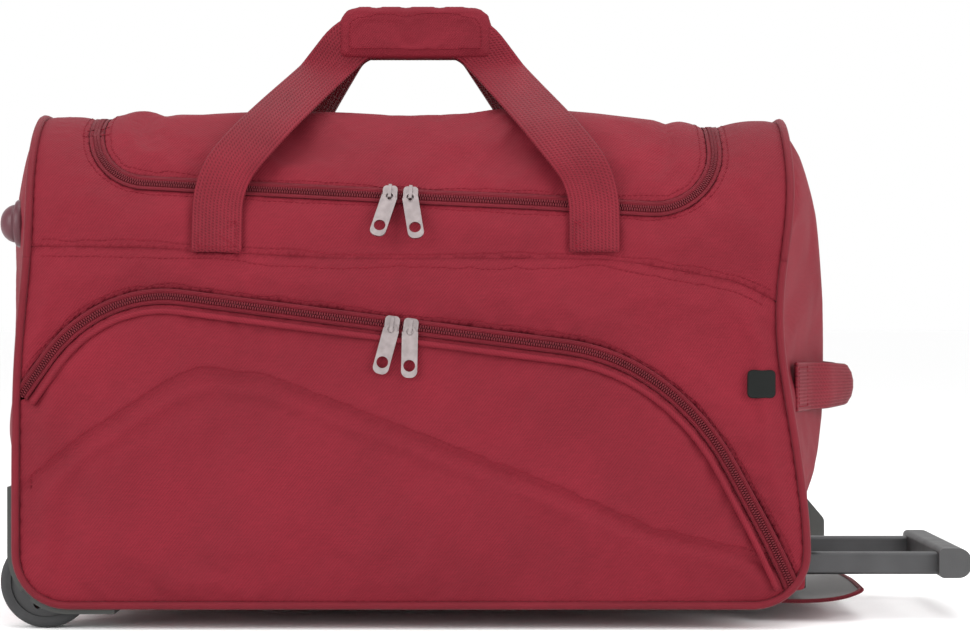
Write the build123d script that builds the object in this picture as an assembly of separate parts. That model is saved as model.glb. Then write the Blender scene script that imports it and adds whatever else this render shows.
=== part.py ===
from build123d import *
import os
from math import atan2, cos, degrees, pi, sin, sqrt

# Rolling duffel bag. +X points to the trolley grip, -Y is the front with the arched pocket, +Z is up.
# Everything is drawn about the middle of the bag with z = 0 at the underside of its base,
# and save() then moves it so that the wheels stand on z = 0 and the whole is centred on X.

os.makedirs("parts", exist_ok=True)

# ---- driving dimensions, millimetres ----
LENGTH = 590            # seam to seam
DEPTH = 300
HEIGHT = 370
SHOULDER_R = 110        # rounding over the top, front and rear
CORNER_R = 38           # lower corners seen from the front
WALL = 3                # padded fabric
END_BULGE = 18
GAP = 0.3               # between pieces that move past each other

WHEEL_R = 35
WHEEL_WIDTH = 23
WHEEL_X = -275
WHEEL_Y = 128
WHEEL_DROP = 19.5       # how far the wheels stand below the base

WEBBING = 38
WEBBING_T = 2.4

GRIP_END_X = 432        # outer face of the trolley grip
HALF_X = LENGTH / 2
HALF_Y = DEPTH / 2
FRONT = -HALF_Y
ORIGIN = Pos(-58, 0, WHEEL_DROP)


def save(name, shape):
    """Write one sub-part in the part's own frame."""
    moved = ORIGIN * shape
    moved.label = name
    export_step(moved, f"parts/{name}.step")


def yz_prism(face, x0, x1):
    return extrude(Plane.YZ.offset(x0) * face, x1 - x0)


def xz_prism(face, y0, y1):
    return extrude(Plane.XZ.offset(-y1) * face, y1 - y0)


def xy_prism(face, z0, z1):
    return extrude(Plane.XY.offset(z0) * face, z1 - z0)


def block(x0, x1, y0, y1, z0, z1):
    return Pos((x0 + x1) / 2, (y0 + y1) / 2, (z0 + z1) / 2) * Box(x1 - x0, y1 - y0, z1 - z0)


def rear_copy(shape):
    return mirror(shape, about=Plane.XZ)


def rod_y(x, z, radius, y0, y1):
    return xz_prism(Pos(x, z) * Circle(radius), y0, y1)


# ---- outlines of the bag ----
def section(inset):
    """Cross-section seen from the end, with the rounded shoulders."""
    height = HEIGHT - 2 * inset
    face = Pos(0, HEIGHT / 2) * Rectangle(DEPTH - 2 * inset, height)
    return fillet(face.vertices().group_by(Axis.Y)[-1], SHOULDER_R - inset)


def front_outline(inset):
    """Outline seen from the front, with the rounded lower corners."""
    face = Pos(0, HEIGHT / 2) * Rectangle(LENGTH - 2 * inset, HEIGHT - 2 * inset)
    return fillet(face.vertices().group_by(Axis.Y)[0], CORNER_R - inset)


def closed(points, radii):
    """A face inside straight lines whose first corners are rounded."""
    line = FilletPolyline(*points, radius=radii)
    return make_face(line + Line(line @ 1, line @ 0))


def shell():
    outer = yz_prism(section(0), -HALF_X, HALF_X) & xz_prism(front_outline(0), -HALF_Y, HALF_Y)
    inner = yz_prism(section(WALL), -HALF_X - 1, HALF_X + 1)
    return outer - inner


# ---- lid: a U-shaped zip, hinged along the rear shoulder ----
LID_X0 = -247
LID_X1 = 236
LID_HINGE_Y = 95
ZIP_W = 12              # whole zip between its two seams
TEETH_GAP = 0.6
LID_SLOPE = -0.0497     # of its front stretch


def lid_outline(grow):
    """Region of the lid seen from the front; its lower edge falls a little to the right."""
    face = closed([(LID_X0, 430), (LID_X0, 318), (LID_X1, 294), (LID_X1, 430)], [46, 52])
    return offset(face, grow)


def on_front_half(face):
    return xz_prism(face, -HALF_Y - 20, LID_HINGE_Y)


# ---- front pocket: an arched zip, folding about the chord between its ends ----
CHORD = [(-291, 159), (282, 13)]
ZIP_CUT = 7             # the folding side of the zip stops this far above the chord
ZIP_SLOPE = -0.128      # of its long straight stretch


def pocket_outline(grow):
    """Everything below the arched zip."""
    points = [(-345, -60), (-345, 81), (-235.6, 238), (204.9, 181.7), (320, -60)]
    return offset(closed(points, [8, 105, 160]), grow)


def above_chord(gap):
    (x0, z0), (x1, z1) = CHORD
    angle = degrees(atan2(z1 - z0, x1 - x0))
    middle = Pos((x0 + x1) / 2, (z0 + z1) / 2)
    return middle * Rot(0, 0, angle) * Pos(0, 200 + gap) * Rectangle(900, 400)


def make_shell_panels():
    body = shell()
    ring = ZIP_W / 2
    top = body & block(-400, 400, -200, 200, 260, 400)
    lid_hole = on_front_half(lid_outline(ring))
    around = top - lid_hole
    save("front_yoke", around & block(LID_X0 - ring, LID_X1 + ring, -200, -40, 260, 400))
    save("left_top_strip", around & block(-400, LID_X0 - ring, -200, LID_HINGE_Y, 260, 400))
    save("right_top_strip", around & block(LID_X1 + ring, 400, -200, LID_HINGE_Y, 260, 400))
    save("rear_yoke", around & block(-400, 400, LID_HINGE_Y + TEETH_GAP, 200, 260, 400))
    save("lid_panel", top & on_front_half(lid_outline(-ring)))
    half_gap = TEETH_GAP / 2
    save("lid_zip_lid_side", top & on_front_half(lid_outline(-half_gap) - lid_outline(-ring)))
    save("lid_zip_bag_side", top & on_front_half(lid_outline(ring) - lid_outline(half_gap)))
    walls = body & block(-400, 400, -200, 200, 0, 260)
    save("rear_panel", walls & block(-400, 400, HALF_Y - WALL, 200, 0, 260))
    front = xz_prism(front_outline(0), FRONT, FRONT + WALL) & block(-400, 400, -200, 0, 0, 260)
    depth = [FRONT - 20, FRONT + 20]
    save("front_panel", front - xz_prism(pocket_outline(ring), *depth))
    save("pocket_zip_bag_side",
         front & xz_prism(pocket_outline(ring) - pocket_outline(half_gap), *depth))
    inside = pocket_outline(-half_gap)
    folding = front & xz_prism(inside & above_chord(half_gap), *depth)
    band = xz_prism(inside - pocket_outline(-ring), *depth)
    save("pocket_zip_flap_side", folding & band & xz_prism(above_chord(ZIP_CUT), *depth))
    save("pocket_flap", folding - band)
    save("pocket_lower_panel", front & xz_prism(inside - above_chord(-half_gap), *depth))
    backing = xz_prism(front_outline(WALL + 1), FRONT + 16, FRONT + 18)
    backing = backing & block(-400, 400, -200, 0, 6, 258)
    save("pocket_backing", backing - block(-400, -222, -200, 0, 0, 92))


# ---- end panels and base ----
BAY_Y = 98              # half width of the trolley bay
BAY_TOP = 78
WELL_X = -222
WELL_TOP = 88
WELL_IN = HALF_Y - 41


def dome(shift):
    """Pillow-shaped end of the bag, grown from its end section."""
    tall = HEIGHT - WALL
    foot = CORNER_R
    start = HALF_X + shift
    reach = HALF_X + END_BULGE + shift
    inside_y = HALF_Y - WALL
    rim = [(start, -inside_y), (start, inside_y)]
    plan = make_face(ThreePointArc(rim[0], (reach, 0), rim[1]) + Polyline(
        rim[1], (start - 9, inside_y), (start - 9, -inside_y), rim[0]))
    low = (start, foot)
    high = (start, tall)
    side = make_face(ThreePointArc(low, (reach, (foot + tall) / 2), high) + Polyline(
        high, (start - 9, tall), (start - 9, foot), low))
    end = yz_prism(section(WALL), start - 9, reach + 1) & block(0, 400, -200, 200, foot, tall)
    return end & xy_prism(plan, 0, tall + 1) & xz_prism(side, -200, 200)


def wells(top):
    front = block(-400, WELL_X, -HALF_Y + WALL, -WELL_IN, -40, 72)
    front += block(-400, -285, -HALF_Y + WALL, -WELL_IN, -40, top)
    return front + rear_copy(front)


def make_ends_and_base():
    bay = block(250, 400, -BAY_Y, BAY_Y, -1, BAY_TOP)
    end = (dome(0) - dome(-WALL)) & block(HALF_X - WALL, 400, -200, 200, 0, 400)
    save("right_end_panel", end - bay)
    save("left_end_panel", mirror(end, about=Plane.YZ) - wells(WELL_TOP))
    ring = xz_prism(front_outline(0) - front_outline(WALL), -HALF_Y + WALL, HALF_Y - WALL)
    save("bottom_panel", (ring & block(-400, 400, -200, 200, -1, CORNER_R)) - wells(WELL_TOP) - bay)
    board = block(WELL_X + 2, 270, -HALF_Y + 20, HALF_Y - 6, 40, 42.5)
    corners = board.edges().filter_by(Axis.Z)
    save("base_board", fillet(corners, 20))


# ---- piping ----
PIPE_R = 3
PIPE_OUT = 2.2          # the cord stands this far outside the corner of the panels


def piping_run(line, plane):
    path = Wire((plane * line).edges())
    return sweep(Plane(path @ 0, z_dir=path % 0) * Circle(PIPE_R), path)


def make_piping():
    x = HALF_X + PIPE_OUT
    low = -PIPE_OUT
    split = HEIGHT - SHOULDER_R - 10
    around = FilletPolyline((-x, split), (-x, low), (x, low), (x, split),
                            radius=CORNER_R + PIPE_OUT)
    front = piping_run(around, Plane.XZ.offset(HALF_Y + PIPE_OUT))
    save("front_piping", front)
    save("rear_piping", rear_copy(front))
    y = HALF_Y + PIPE_OUT
    top = HEIGHT + PIPE_OUT
    over = FilletPolyline((-y, split + 0.2), (-y, top), (y, top), (y, split + 0.2),
                          radius=SHOULDER_R + PIPE_OUT)
    right = piping_run(over, Plane.YZ.offset(x))
    save("right_top_piping", right)
    save("left_top_piping", mirror(right, about=Plane.YZ))


# ---- carry handles: a webbing loop at the front and one at the rear, held by a wrap ----
HANDLE_Y = HALF_Y + 2.6         # middle of the webbing on the front face
HANDLE_LEFT = -145
HANDLE_RIGHT = 138
HANDLE_FOLD_Z = 293
SEWN_FOOT_Z = 264
WRAP_LENGTH = 124
WRAP_Z = 443.5
WRAP_HEIGHT = 43
WRAP_T = 12


def handle_side_path():
    """The loop seen from the end: up the front, back over the lid, upright in the wrap."""
    y = -HANDLE_Y
    return FilletPolyline((y, SEWN_FOOT_Z), (y, 343), (-7, 418), (-7, 470), radius=[88, 3])


def handle_front_path():
    top = WRAP_Z
    return FilletPolyline((HANDLE_LEFT, SEWN_FOOT_Z), (HANDLE_LEFT, 318), (-48, top), (44, top),
                          (HANDLE_RIGHT, 318), (HANDLE_RIGHT, SEWN_FOOT_Z),
                          radius=[70, 40, 40, 70])


def make_handles():
    side = yz_prism(trace(handle_side_path(), WEBBING_T), -220, 220)
    front = xz_prism(trace(handle_front_path(), WEBBING), -160, 20)
    loop = side & front
    split = block(-220, 220, -170, 20, 0, HANDLE_FOLD_Z)
    sewn = loop & split
    strap = loop - block(-220, 220, -170, 20, 0, HANDLE_FOLD_Z + GAP)
    outline = Pos(0, WRAP_Z) * Rectangle(WRAP_LENGTH, WRAP_HEIGHT)
    outline = fillet(outline.vertices().group_by(Axis.Y)[-1], 16)
    outline = fillet(outline.vertices().group_by(Axis.Y)[0], 6)
    wrap = xz_prism(outline, -WRAP_T - 0.5, -0.5) - loop
    save("front_handle_sewn_ends", sewn)
    save("front_handle_strap", strap)
    save("front_handle_wrap", wrap)
    save("rear_handle_sewn_ends", rear_copy(sewn))
    save("rear_handle_strap", rear_copy(strap))
    save("rear_handle_wrap", rear_copy(wrap))


def make_grab_handle():
    apex_x = HALF_X + 52.8
    path = FilletPolyline((302.2, -128), (308.6, -96), (apex_x, -34), (apex_x, 34),
                          (308.6, 96), (302.2, 128), radius=[40, 30, 30, 40])
    save("grab_handle", xy_prism(trace(path, WEBBING_T), 143, 143 + WEBBING))
    tab = block(254, 274, FRONT - 2.2, FRONT - 0.2, 155, 175)
    save("side_tab", fillet(tab.edges().filter_by(Axis.Y), 4))


# ---- zip sliders and pulls ----
PULL_LENGTH = 38
PULL_W = 12
PULL_T = 1.6
PULL_HOLE_R = 4.4
RIM = 1.6               # the ring of the pull that passes under the bridge
EYELET_R = 2.8
AXIS_OUT = 4.6          # the pull turns this far out from the slider's back
BACK_TOP = 3.1
BRIDGE_TOP = 7.7
BRIDGE_W = 2.4
LID_SEAT = 1.5          # how far each zip stands out from the panel behind it
POCKET_SEAT = 5


def slider(seat):
    """On a zip at the origin, reaching down seat mm to the panel: Z is outwards, Y up the bag."""
    low = 0.5 - seat
    body = Pos(0, 0, (BACK_TOP + low) / 2) * Box(11, 13, BACK_TOP - low)
    body = fillet(body.edges().filter_by(Axis.Z), 3)
    arch = Pos(0, 0, BRIDGE_TOP / 2 + 0.5) * Box(BRIDGE_W, 10.8, BRIDGE_TOP - 1)
    window = Pos(0, 0, AXIS_OUT) * Box(BRIDGE_W + 1, 6.4, 3)
    return body + (arch - window)


def pull(lean):
    """Hanging from the bridge: the ring's upper rim is at the origin, in the window."""
    drop = RIM / 2 + EYELET_R
    plate = Pos(0, (RIM / 2 - PULL_LENGTH) / 2) * Rectangle(PULL_W, PULL_LENGTH + RIM / 2)
    plate = fillet(plate.vertices().group_by(Axis.Y)[0], 5)
    plate &= Pos(0, -drop - PULL_LENGTH / 2) * Rectangle(PULL_W, PULL_LENGTH)
    plate += Pos(0, -drop) * Circle(EYELET_R + RIM)
    plate -= Pos(0, -drop) * Circle(EYELET_R)
    plate -= Pos(0, 9 - PULL_LENGTH) * Circle(PULL_HOLE_R)
    turned = Pos(0, -drop) * Rot(0, 0, lean) * Pos(0, drop) * plate
    return Pos(0, 0, AXIS_OUT - PULL_T / 2) * extrude(turned, PULL_T)


def place_slider(name, x, z, slope, lean, seat, on_shoulder):
    """Put a slider and its pull on a zip; on the shoulder the surface leans back."""
    rise = z - (HEIGHT - SHOULDER_R) if on_shoulder else 0
    y = -(HALF_Y - SHOULDER_R) - sqrt(SHOULDER_R ** 2 - rise ** 2)
    outward = Vector(0, y + HALF_Y - SHOULDER_R, rise).normalized()
    along = Vector(1, -slope * rise / (y + HALF_Y - SHOULDER_R), slope)
    zip_top = Plane(origin=Vector(x, y, z) + outward * seat, x_dir=along, z_dir=outward)
    save(name + "_slider", zip_top * slider(seat))
    save(name + "_pull", zip_top * pull(lean))


def make_sliders():
    place_slider("lid_zip_left", -15.5, 306.5, LID_SLOPE, -13, LID_SEAT, True)
    place_slider("lid_zip_right", 0, 305.7, LID_SLOPE, 12, LID_SEAT, True)
    for name, x, lean in (("left", -13.5, -8), ("right", 0.5, 6)):
        z = 207.9 + ZIP_SLOPE * x
        place_slider(f"pocket_zip_{name}", x, z, ZIP_SLOPE, lean, POCKET_SEAT, False)


# ---- wheels and their housings ----
AXLE_R = 4
HUB_R = 26.5
HUB_BORE = 4.05
SPOKES = 5
CAVITY_R = 39
CHEEK = 3.5
HOUSING_Y0 = -HALF_Y + WALL + GAP       # front face of the front housing
HOUSING_Y1 = -WELL_IN - GAP


def make_wheels():
    axle_z = WHEEL_R - WHEEL_DROP
    y0 = -WHEEL_Y - WHEEL_WIDTH / 2
    y1 = -WHEEL_Y + WHEEL_WIDTH / 2
    half = WHEEL_WIDTH / 2
    tread = Pos((HUB_R + WHEEL_R) / 2, 0) * Rectangle(WHEEL_R - HUB_R, WHEEL_WIDTH)
    tread = fillet(tread.vertices().group_by(Axis.X)[-1], 5)
    tyre = revolve(Plane.XY * tread, Axis.Y, 360)
    tyre = Pos(WHEEL_X, -WHEEL_Y, axle_z) * tyre
    hub = rod_y(WHEEL_X, axle_z, HUB_R, y0 + 2, y1 - 2)
    hub += rod_y(WHEEL_X, axle_z, 11, -WHEEL_Y - half, -WHEEL_Y + half)
    for k in range(SPOKES):
        angle = 2 * pi * (k + 0.5) / SPOKES
        hole = [WHEEL_X + 17 * cos(angle), axle_z + 17 * sin(angle)]
        hub -= rod_y(*hole, 4.6, y0 - 1, y1 + 1)
    hub -= rod_y(WHEEL_X, axle_z, HUB_BORE, y0 - 1, y1 + 1)
    axle = rod_y(WHEEL_X, axle_z, AXLE_R, HOUSING_Y0, HOUSING_Y1)
    for side, turn in (("front", lambda s: s), ("rear", rear_copy)):
        save(f"wheel_{side}_tyre", turn(tyre))
        save(f"wheel_{side}_hub", turn(hub))
        save(f"wheel_{side}_axle", turn(axle))


def make_housings():
    axle_z = WHEEL_R - WHEEL_DROP
    x1 = WELL_X - GAP
    outline = Pos((x1 - 303) / 2, 31) * Rectangle(x1 + 303, 78)
    outline = fillet(outline.vertices().group_by(Axis.Y)[0].sort_by(Axis.X)[0], CORNER_R + 8)
    outline = fillet(outline.vertices().sort_by(Axis.Y)[-2:].sort_by(Axis.X)[-1], 14)
    shape = xz_prism(outline, HOUSING_Y0, HOUSING_Y1)
    shape &= block(-400, x1, -200, 0, -40, 70) + block(-400, -293, -200, 0, -40, 90)
    shape += block(-303, -293, HOUSING_Y0, HOUSING_Y1, 60, WELL_TOP - GAP)
    room = rod_y(WHEEL_X, axle_z, CAVITY_R, HOUSING_Y0 + CHEEK, HOUSING_Y1 - CHEEK)
    shape -= room
    shape -= block(-340, WHEEL_X, HOUSING_Y0 + CHEEK, HOUSING_Y1 - CHEEK, -40, axle_z)
    shape -= block(-294, x1 - 4, HOUSING_Y0 + CHEEK, HOUSING_Y1 - CHEEK, 58, 67)
    shape -= rod_y(WHEEL_X, axle_z, AXLE_R, -200, 0)
    notch = Pos(-300, 0, -5) * Rot(0, 45, 0) * Box(9, 400, 34)
    shape -= notch
    save("wheel_front_housing", shape)
    save("wheel_rear_housing", rear_copy(shape))


# ---- trolley ----
TUBE_Y = 75
TUBE_Z = 24
TUBE_H = 17
TUBE_W = 12
TUBE_WALL = 1.5
TUBE_END_X = -160       # inner ends of the tubes, with the trolley drawn out a little
GUIDE_WALL = 2
GUIDE_X0 = -262
GUIDE_X1 = 292
RUN_GAP = 0.5
PIN_X = TUBE_END_X + 8
STOW_TRAVEL = 95
DRAW_TRAVEL = 330
GRIP_X0 = 407
ROD_X0 = TUBE_END_X + 15
ROD_X1 = GRIP_END_X - 12


def tube(x0, x1, height, width, wall):
    solid = block(x0, x1, TUBE_Y - width / 2, TUBE_Y + width / 2,
                  TUBE_Z - height / 2, TUBE_Z + height / 2)
    solid = fillet(solid.edges().filter_by(Axis.X), 2.5)
    bore = block(x0 - 1, x1 + 1, TUBE_Y - width / 2 + wall, TUBE_Y + width / 2 - wall,
                 TUBE_Z - height / 2 + wall, TUBE_Z + height / 2 - wall)
    return solid - bore


def both(shape):
    return Compound(children=[*shape.solids(), *rear_copy(shape).solids()])


def make_trolley():
    side = 2 * (GUIDE_WALL + RUN_GAP)
    guide = tube(GUIDE_X0, GUIDE_X1, TUBE_H + side, TUBE_W + side, GUIDE_WALL)
    for x in (PIN_X - STOW_TRAVEL, PIN_X + DRAW_TRAVEL):
        guide -= Pos(x, TUBE_Y, TUBE_Z - TUBE_H / 2) * Cylinder(2.8, 8)
    save("guide_tubes", both(guide))
    bracket = block(GUIDE_X0 - 6, GUIDE_X0, -BAY_Y, BAY_Y, 7, 39)
    save("guide_bracket", fillet(bracket.edges().filter_by(Axis.X), 6))
    collar = block(GUIDE_X1 + GAP, 303, -BAY_Y + GAP, BAY_Y - GAP, 6, 47)
    slot = block(280, 320, TUBE_Y - TUBE_W / 2 - RUN_GAP, TUBE_Y + TUBE_W / 2 + RUN_GAP,
                 TUBE_Z - TUBE_H / 2 - RUN_GAP, TUBE_Z + TUBE_H / 2 + RUN_GAP)
    collar = fillet(collar.edges().filter_by(Axis.X), 5)
    save("trolley_collar", collar - slot - rear_copy(slot))
    lip = closed([(GUIDE_X1 + GAP, 47), (GUIDE_X1 + GAP, BAY_TOP - GAP), (302, BAY_TOP - GAP),
                  (317, 60), (317, 47)], [1, 8, 6])
    hood = xz_prism(lip, -BAY_Y + GAP, BAY_Y - GAP)
    hood -= block(280, 312, -BAY_Y + 4, BAY_Y - 4, 40, 58)
    save("trolley_hood", hood)
    for name, turn in (("front", rear_copy), ("rear", lambda s: s)):
        inner = tube(TUBE_END_X, GRIP_X0 + 6, TUBE_H, TUBE_W, TUBE_WALL)
        hole = Pos(PIN_X, TUBE_Y, TUBE_Z - TUBE_H / 2) * Cylinder(2.6, 6)
        save(f"trolley_tube_{name}", turn(inner - hole))
        pin = Pos(PIN_X, TUBE_Y, TUBE_Z - 5.65) * Cylinder(2.5, 6.5)
        save(f"lock_pin_{name}", turn(pin))
    length = 2 * TUBE_Y + 30
    profile = Pos((GRIP_X0 + GRIP_END_X) / 2, TUBE_Z + 1) * Rectangle(GRIP_END_X - GRIP_X0, 23)
    corners = profile.vertices().group_by(Axis.X)
    profile = fillet(corners[-1], 10)
    profile = fillet(profile.vertices().group_by(Axis.X)[0], 4)
    grip = xz_prism(profile, -length / 2, length / 2)
    grip -= block(GRIP_X0 + 5, GRIP_END_X - 4, -TUBE_Y - 3, TUBE_Y + 3, TUBE_Z - 6, TUBE_Z + 7)
    sleeve = block(GRIP_X0 - 1, GRIP_X0 + 6, TUBE_Y - TUBE_W / 2, TUBE_Y + TUBE_W / 2,
                   TUBE_Z - TUBE_H / 2, TUBE_Z + TUBE_H / 2)
    window = block(GRIP_END_X - 5, GRIP_END_X + 1, -13, 13, TUBE_Z - 4, TUBE_Z + 4)
    grip = grip - sleeve - rear_copy(sleeve) - window
    save("trolley_grip", grip)
    button = block(GRIP_END_X - 10, GRIP_END_X + 0.8, -12.5, 12.5, TUBE_Z - 3.5, TUBE_Z + 3.5)
    bar = block(GRIP_END_X - 12, GRIP_END_X - 10, -TUBE_Y - 2, TUBE_Y + 2, TUBE_Z - 3, TUBE_Z + 3)
    save("release_button", fillet(button.edges().filter_by(Axis.X), 3) + bar)
    rod = Pos((ROD_X0 + ROD_X1) / 2, TUBE_Y, TUBE_Z) * Rot(0, 90, 0) * Cylinder(2, ROD_X1 - ROD_X0)
    save("push_rods", both(rod))


FOOT_R = 14.5
FOOT_Y = 100
FOOT_Z = 287
FOOT_PROUD = 15.7       # crown of the foot, measured from x = -300


def make_flap_and_feet():
    line = FilletPolyline((275, -1.6), (300, -2.4), (326, -1), (349, 3.5), radius=60)
    flap = xz_prism(trace(line, 2.2), -100, 100)
    save("trolley_flap", flap)
    rim = [(0, 0), (FOOT_R, 0), (FOOT_R, 6)]
    crown = (0, FOOT_PROUD)
    face = make_face(Polyline(crown, *rim) + ThreePointArc(rim[2], (FOOT_R * 0.7, 13), crown))
    foot = revolve(Plane.XZ * face, Axis.Z, 360)
    foot = Pos(-300, FOOT_Y, FOOT_Z) * Rot(0, -90, 0) * foot
    save("stand_feet", both(foot - mirror(dome(0), about=Plane.YZ)))


make_shell_panels()
make_ends_and_base()
make_piping()
make_handles()
make_grab_handle()
make_sliders()
make_wheels()
make_housings()
make_trolley()
make_flap_and_feet()
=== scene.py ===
import math

import bmesh
import bpy
import numpy as np
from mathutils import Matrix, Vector
from mathutils.bvhtree import BVHTree
from mathutils.geometry import delaunay_2d_cdt


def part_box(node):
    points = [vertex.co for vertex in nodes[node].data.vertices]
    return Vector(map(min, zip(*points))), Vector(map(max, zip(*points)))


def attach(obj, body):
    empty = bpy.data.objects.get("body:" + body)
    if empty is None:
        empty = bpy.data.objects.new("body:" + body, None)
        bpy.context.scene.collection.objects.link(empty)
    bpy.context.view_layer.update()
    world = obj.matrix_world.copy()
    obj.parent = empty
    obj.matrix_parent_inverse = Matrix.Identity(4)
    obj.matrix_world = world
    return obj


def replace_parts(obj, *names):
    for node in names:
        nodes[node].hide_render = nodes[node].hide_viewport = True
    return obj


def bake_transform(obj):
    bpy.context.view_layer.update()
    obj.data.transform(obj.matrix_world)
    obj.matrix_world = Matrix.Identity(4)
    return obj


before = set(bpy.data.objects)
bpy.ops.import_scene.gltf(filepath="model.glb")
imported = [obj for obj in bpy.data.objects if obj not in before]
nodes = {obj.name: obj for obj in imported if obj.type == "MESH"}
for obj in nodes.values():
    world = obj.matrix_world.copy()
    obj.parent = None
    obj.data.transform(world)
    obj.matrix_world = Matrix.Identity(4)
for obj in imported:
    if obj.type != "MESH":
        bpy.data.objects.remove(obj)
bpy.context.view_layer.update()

# The bag is drawn in millimetres about its own middle, with z = 0 at the underside of its base.
# The CAD rear panel gives where that is in the frame.
MM = 0.001
panel_low, panel_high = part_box("rear_panel")
MIDDLE_X = (panel_low[0] + panel_high[0]) / 2
BASE_Z = panel_low[2]

LENGTH = 590
DEPTH = 300
HEIGHT = 370
SHOULDER_R = 110
CORNER_R = 38
HALF_X = LENGTH / 2
HALF_Y = DEPTH / 2
FLAT_TOP = DEPTH - 2 * SHOULDER_R
WALL_TOP = HEIGHT - SHOULDER_R              # where the shoulder starts
ARC = SHOULDER_R * math.pi / 2
S_TOP = WALL_TOP + ARC                      # distance over the bag, from the front edge of the base
S_REAR = S_TOP + FLAT_TOP + ARC
S_END = S_REAR + WALL_TOP
LEFT_BULGE = 14
RIGHT_BULGE = 22


def place(p):
    """A point of the bag, in millimetres, as a place in the frame, in metres."""
    return (MIDDLE_X + p[0] * MM, p[1] * MM, BASE_Z + p[2] * MM)


# ---- shape of the bag ----

def bump(value, middle, width):
    return np.exp(-((value - middle) / width) ** 2)


def waist(x, z):
    """The ends lean in between base and top, more at the trolley end."""
    right = -19 * bump(z, 215, 95) + 2 * bump(z, 45, 40) - 7 * bump(z, 370, 60)
    left = 9 * bump(z, 285, 80) + 3 * bump(z, 370, 40)
    share = np.clip(x / HALF_X, -1, 1)
    return np.where(share > 0, right * share ** 3, -left * share ** 3)


def crest(x, y, z):
    """The top sinks and rises a little along the bag."""
    top = np.clip((z - 255) / 115, 0, 1) ** 2
    wave = 3.0 * bump(x, 95, 60) - 5.0 * bump(x, 235, 70) + 1.5 * bump(x, -210, 80)
    sag = -5.0 * (1 - (x / HALF_X) ** 2) * bump(y, 0, 90)
    return top * (wave + sag)


def section(s):
    """Point (y, z) and outward normal of the cross-section, s mm up from the front edge."""
    s = np.asarray(s, float)
    y = np.empty_like(s)
    z = np.empty_like(s)
    ny = np.zeros_like(s)
    nz = np.zeros_like(s)
    front = s <= WALL_TOP
    y[front] = -HALF_Y
    z[front] = s[front]
    ny[front] = -1
    first = (s > WALL_TOP) & (s <= S_TOP)
    a = (s[first] - WALL_TOP) / SHOULDER_R
    y[first] = -FLAT_TOP / 2 - SHOULDER_R * np.cos(a)
    z[first] = WALL_TOP + SHOULDER_R * np.sin(a)
    ny[first] = -np.cos(a)
    nz[first] = np.sin(a)
    top = (s > S_TOP) & (s <= S_TOP + FLAT_TOP)
    y[top] = -FLAT_TOP / 2 + s[top] - S_TOP
    z[top] = HEIGHT
    nz[top] = 1
    second = (s > S_TOP + FLAT_TOP) & (s <= S_REAR)
    a = (s[second] - S_TOP - FLAT_TOP) / SHOULDER_R
    y[second] = FLAT_TOP / 2 + SHOULDER_R * np.sin(a)
    z[second] = WALL_TOP + SHOULDER_R * np.cos(a)
    ny[second] = np.sin(a)
    nz[second] = np.cos(a)
    rear = s > S_REAR
    y[rear] = HALF_Y
    z[rear] = WALL_TOP - (s[rear] - S_REAR)
    ny[rear] = 1
    return y, z, ny, nz


def wrap(x, s, out=0.0):
    """Points of the wrap (front, top and rear) at length x and height s, out mm proud."""
    x = np.asarray(x, float)
    s = np.asarray(s, float)
    y, z, ny, nz = section(s)
    belly = 3.5 * np.clip(1 - (x / HALF_X) ** 2, 0, 1) * np.clip(1 - ((z - 130) / 150) ** 2, 0, 1)
    out = out + np.where((s < WALL_TOP) | (s > S_REAR), belly, 0)
    return np.stack([x + waist(x, z), y + ny * out, z + nz * out + crest(x, y, z)], 1)


def to_rim(y, z):
    """0 in the middle of an end panel, 1 on its side and shoulder seams."""
    beyond = np.hypot(np.maximum(np.abs(y) - FLAT_TOP / 2, 0), np.maximum(z - WALL_TOP, 0))
    return np.clip(np.maximum(np.abs(y) / HALF_Y, beyond / SHOULDER_R), 0, 1)


def end_bulge(side, y, z):
    """How far an end panel stands out, most in its middle."""
    across = np.clip(1 - (y / (HALF_Y - 2)) ** 2, 0, 1)
    up = np.clip(1 - ((z - 195) / 175) ** 2, 0, 1)
    most = RIGHT_BULGE if side > 0 else LEFT_BULGE
    return most * across * up ** 0.6 * (1 - to_rim(y, z) ** 5)


def end(side, y, z, out=0.0):
    """Points of an end panel, out mm proud; side is -1 at the wheels and 1 at the trolley."""
    y = np.asarray(y, float)
    z = np.asarray(z, float)
    x = side * (HALF_X + end_bulge(side, y, z) + out)
    rim = waist(np.full_like(z, side * HALF_X), z) * to_rim(y, z) ** 2
    return np.stack([x + rim, y, z + crest(np.full_like(z, side * HALF_X), y, z)], 1)


def shoulder_s(z):
    """Distance up the section of a height seen from the front."""
    z = np.asarray(z, float)
    rise = np.clip((z - WALL_TOP) / SHOULDER_R, 0, 1)
    return np.where(z <= WALL_TOP, z, WALL_TOP + SHOULDER_R * np.arcsin(rise))


# ---- lines drawn on the bag ----

def rounded(points, radii, step=6.0):
    """A polyline whose inner corners are arcs, resampled evenly; points are (x, z)."""
    out = [np.array(points[0], float)]
    for before, corner, after, radius in zip(points, points[1:], points[2:], radii):
        corner = np.array(corner, float)
        a = np.array(before, float) - corner
        b = np.array(after, float) - corner
        a /= np.linalg.norm(a)
        b /= np.linalg.norm(b)
        half = math.acos(np.clip(a @ b, -1, 1)) / 2
        reach = radius / math.tan(half)
        centre = corner + (a + b) / np.linalg.norm(a + b) * radius / math.sin(half)
        start = corner + a * reach - centre
        finish = corner + b * reach - centre
        turn = math.acos(np.clip(start @ finish / radius ** 2, -1, 1))
        for k in range(13):
            t = k / 12
            p = (math.sin((1 - t) * turn) * start + math.sin(t * turn) * finish) / math.sin(turn)
            out.append(centre + p)
    out.append(np.array(points[-1], float))
    return resample(np.array(out), step)


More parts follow.
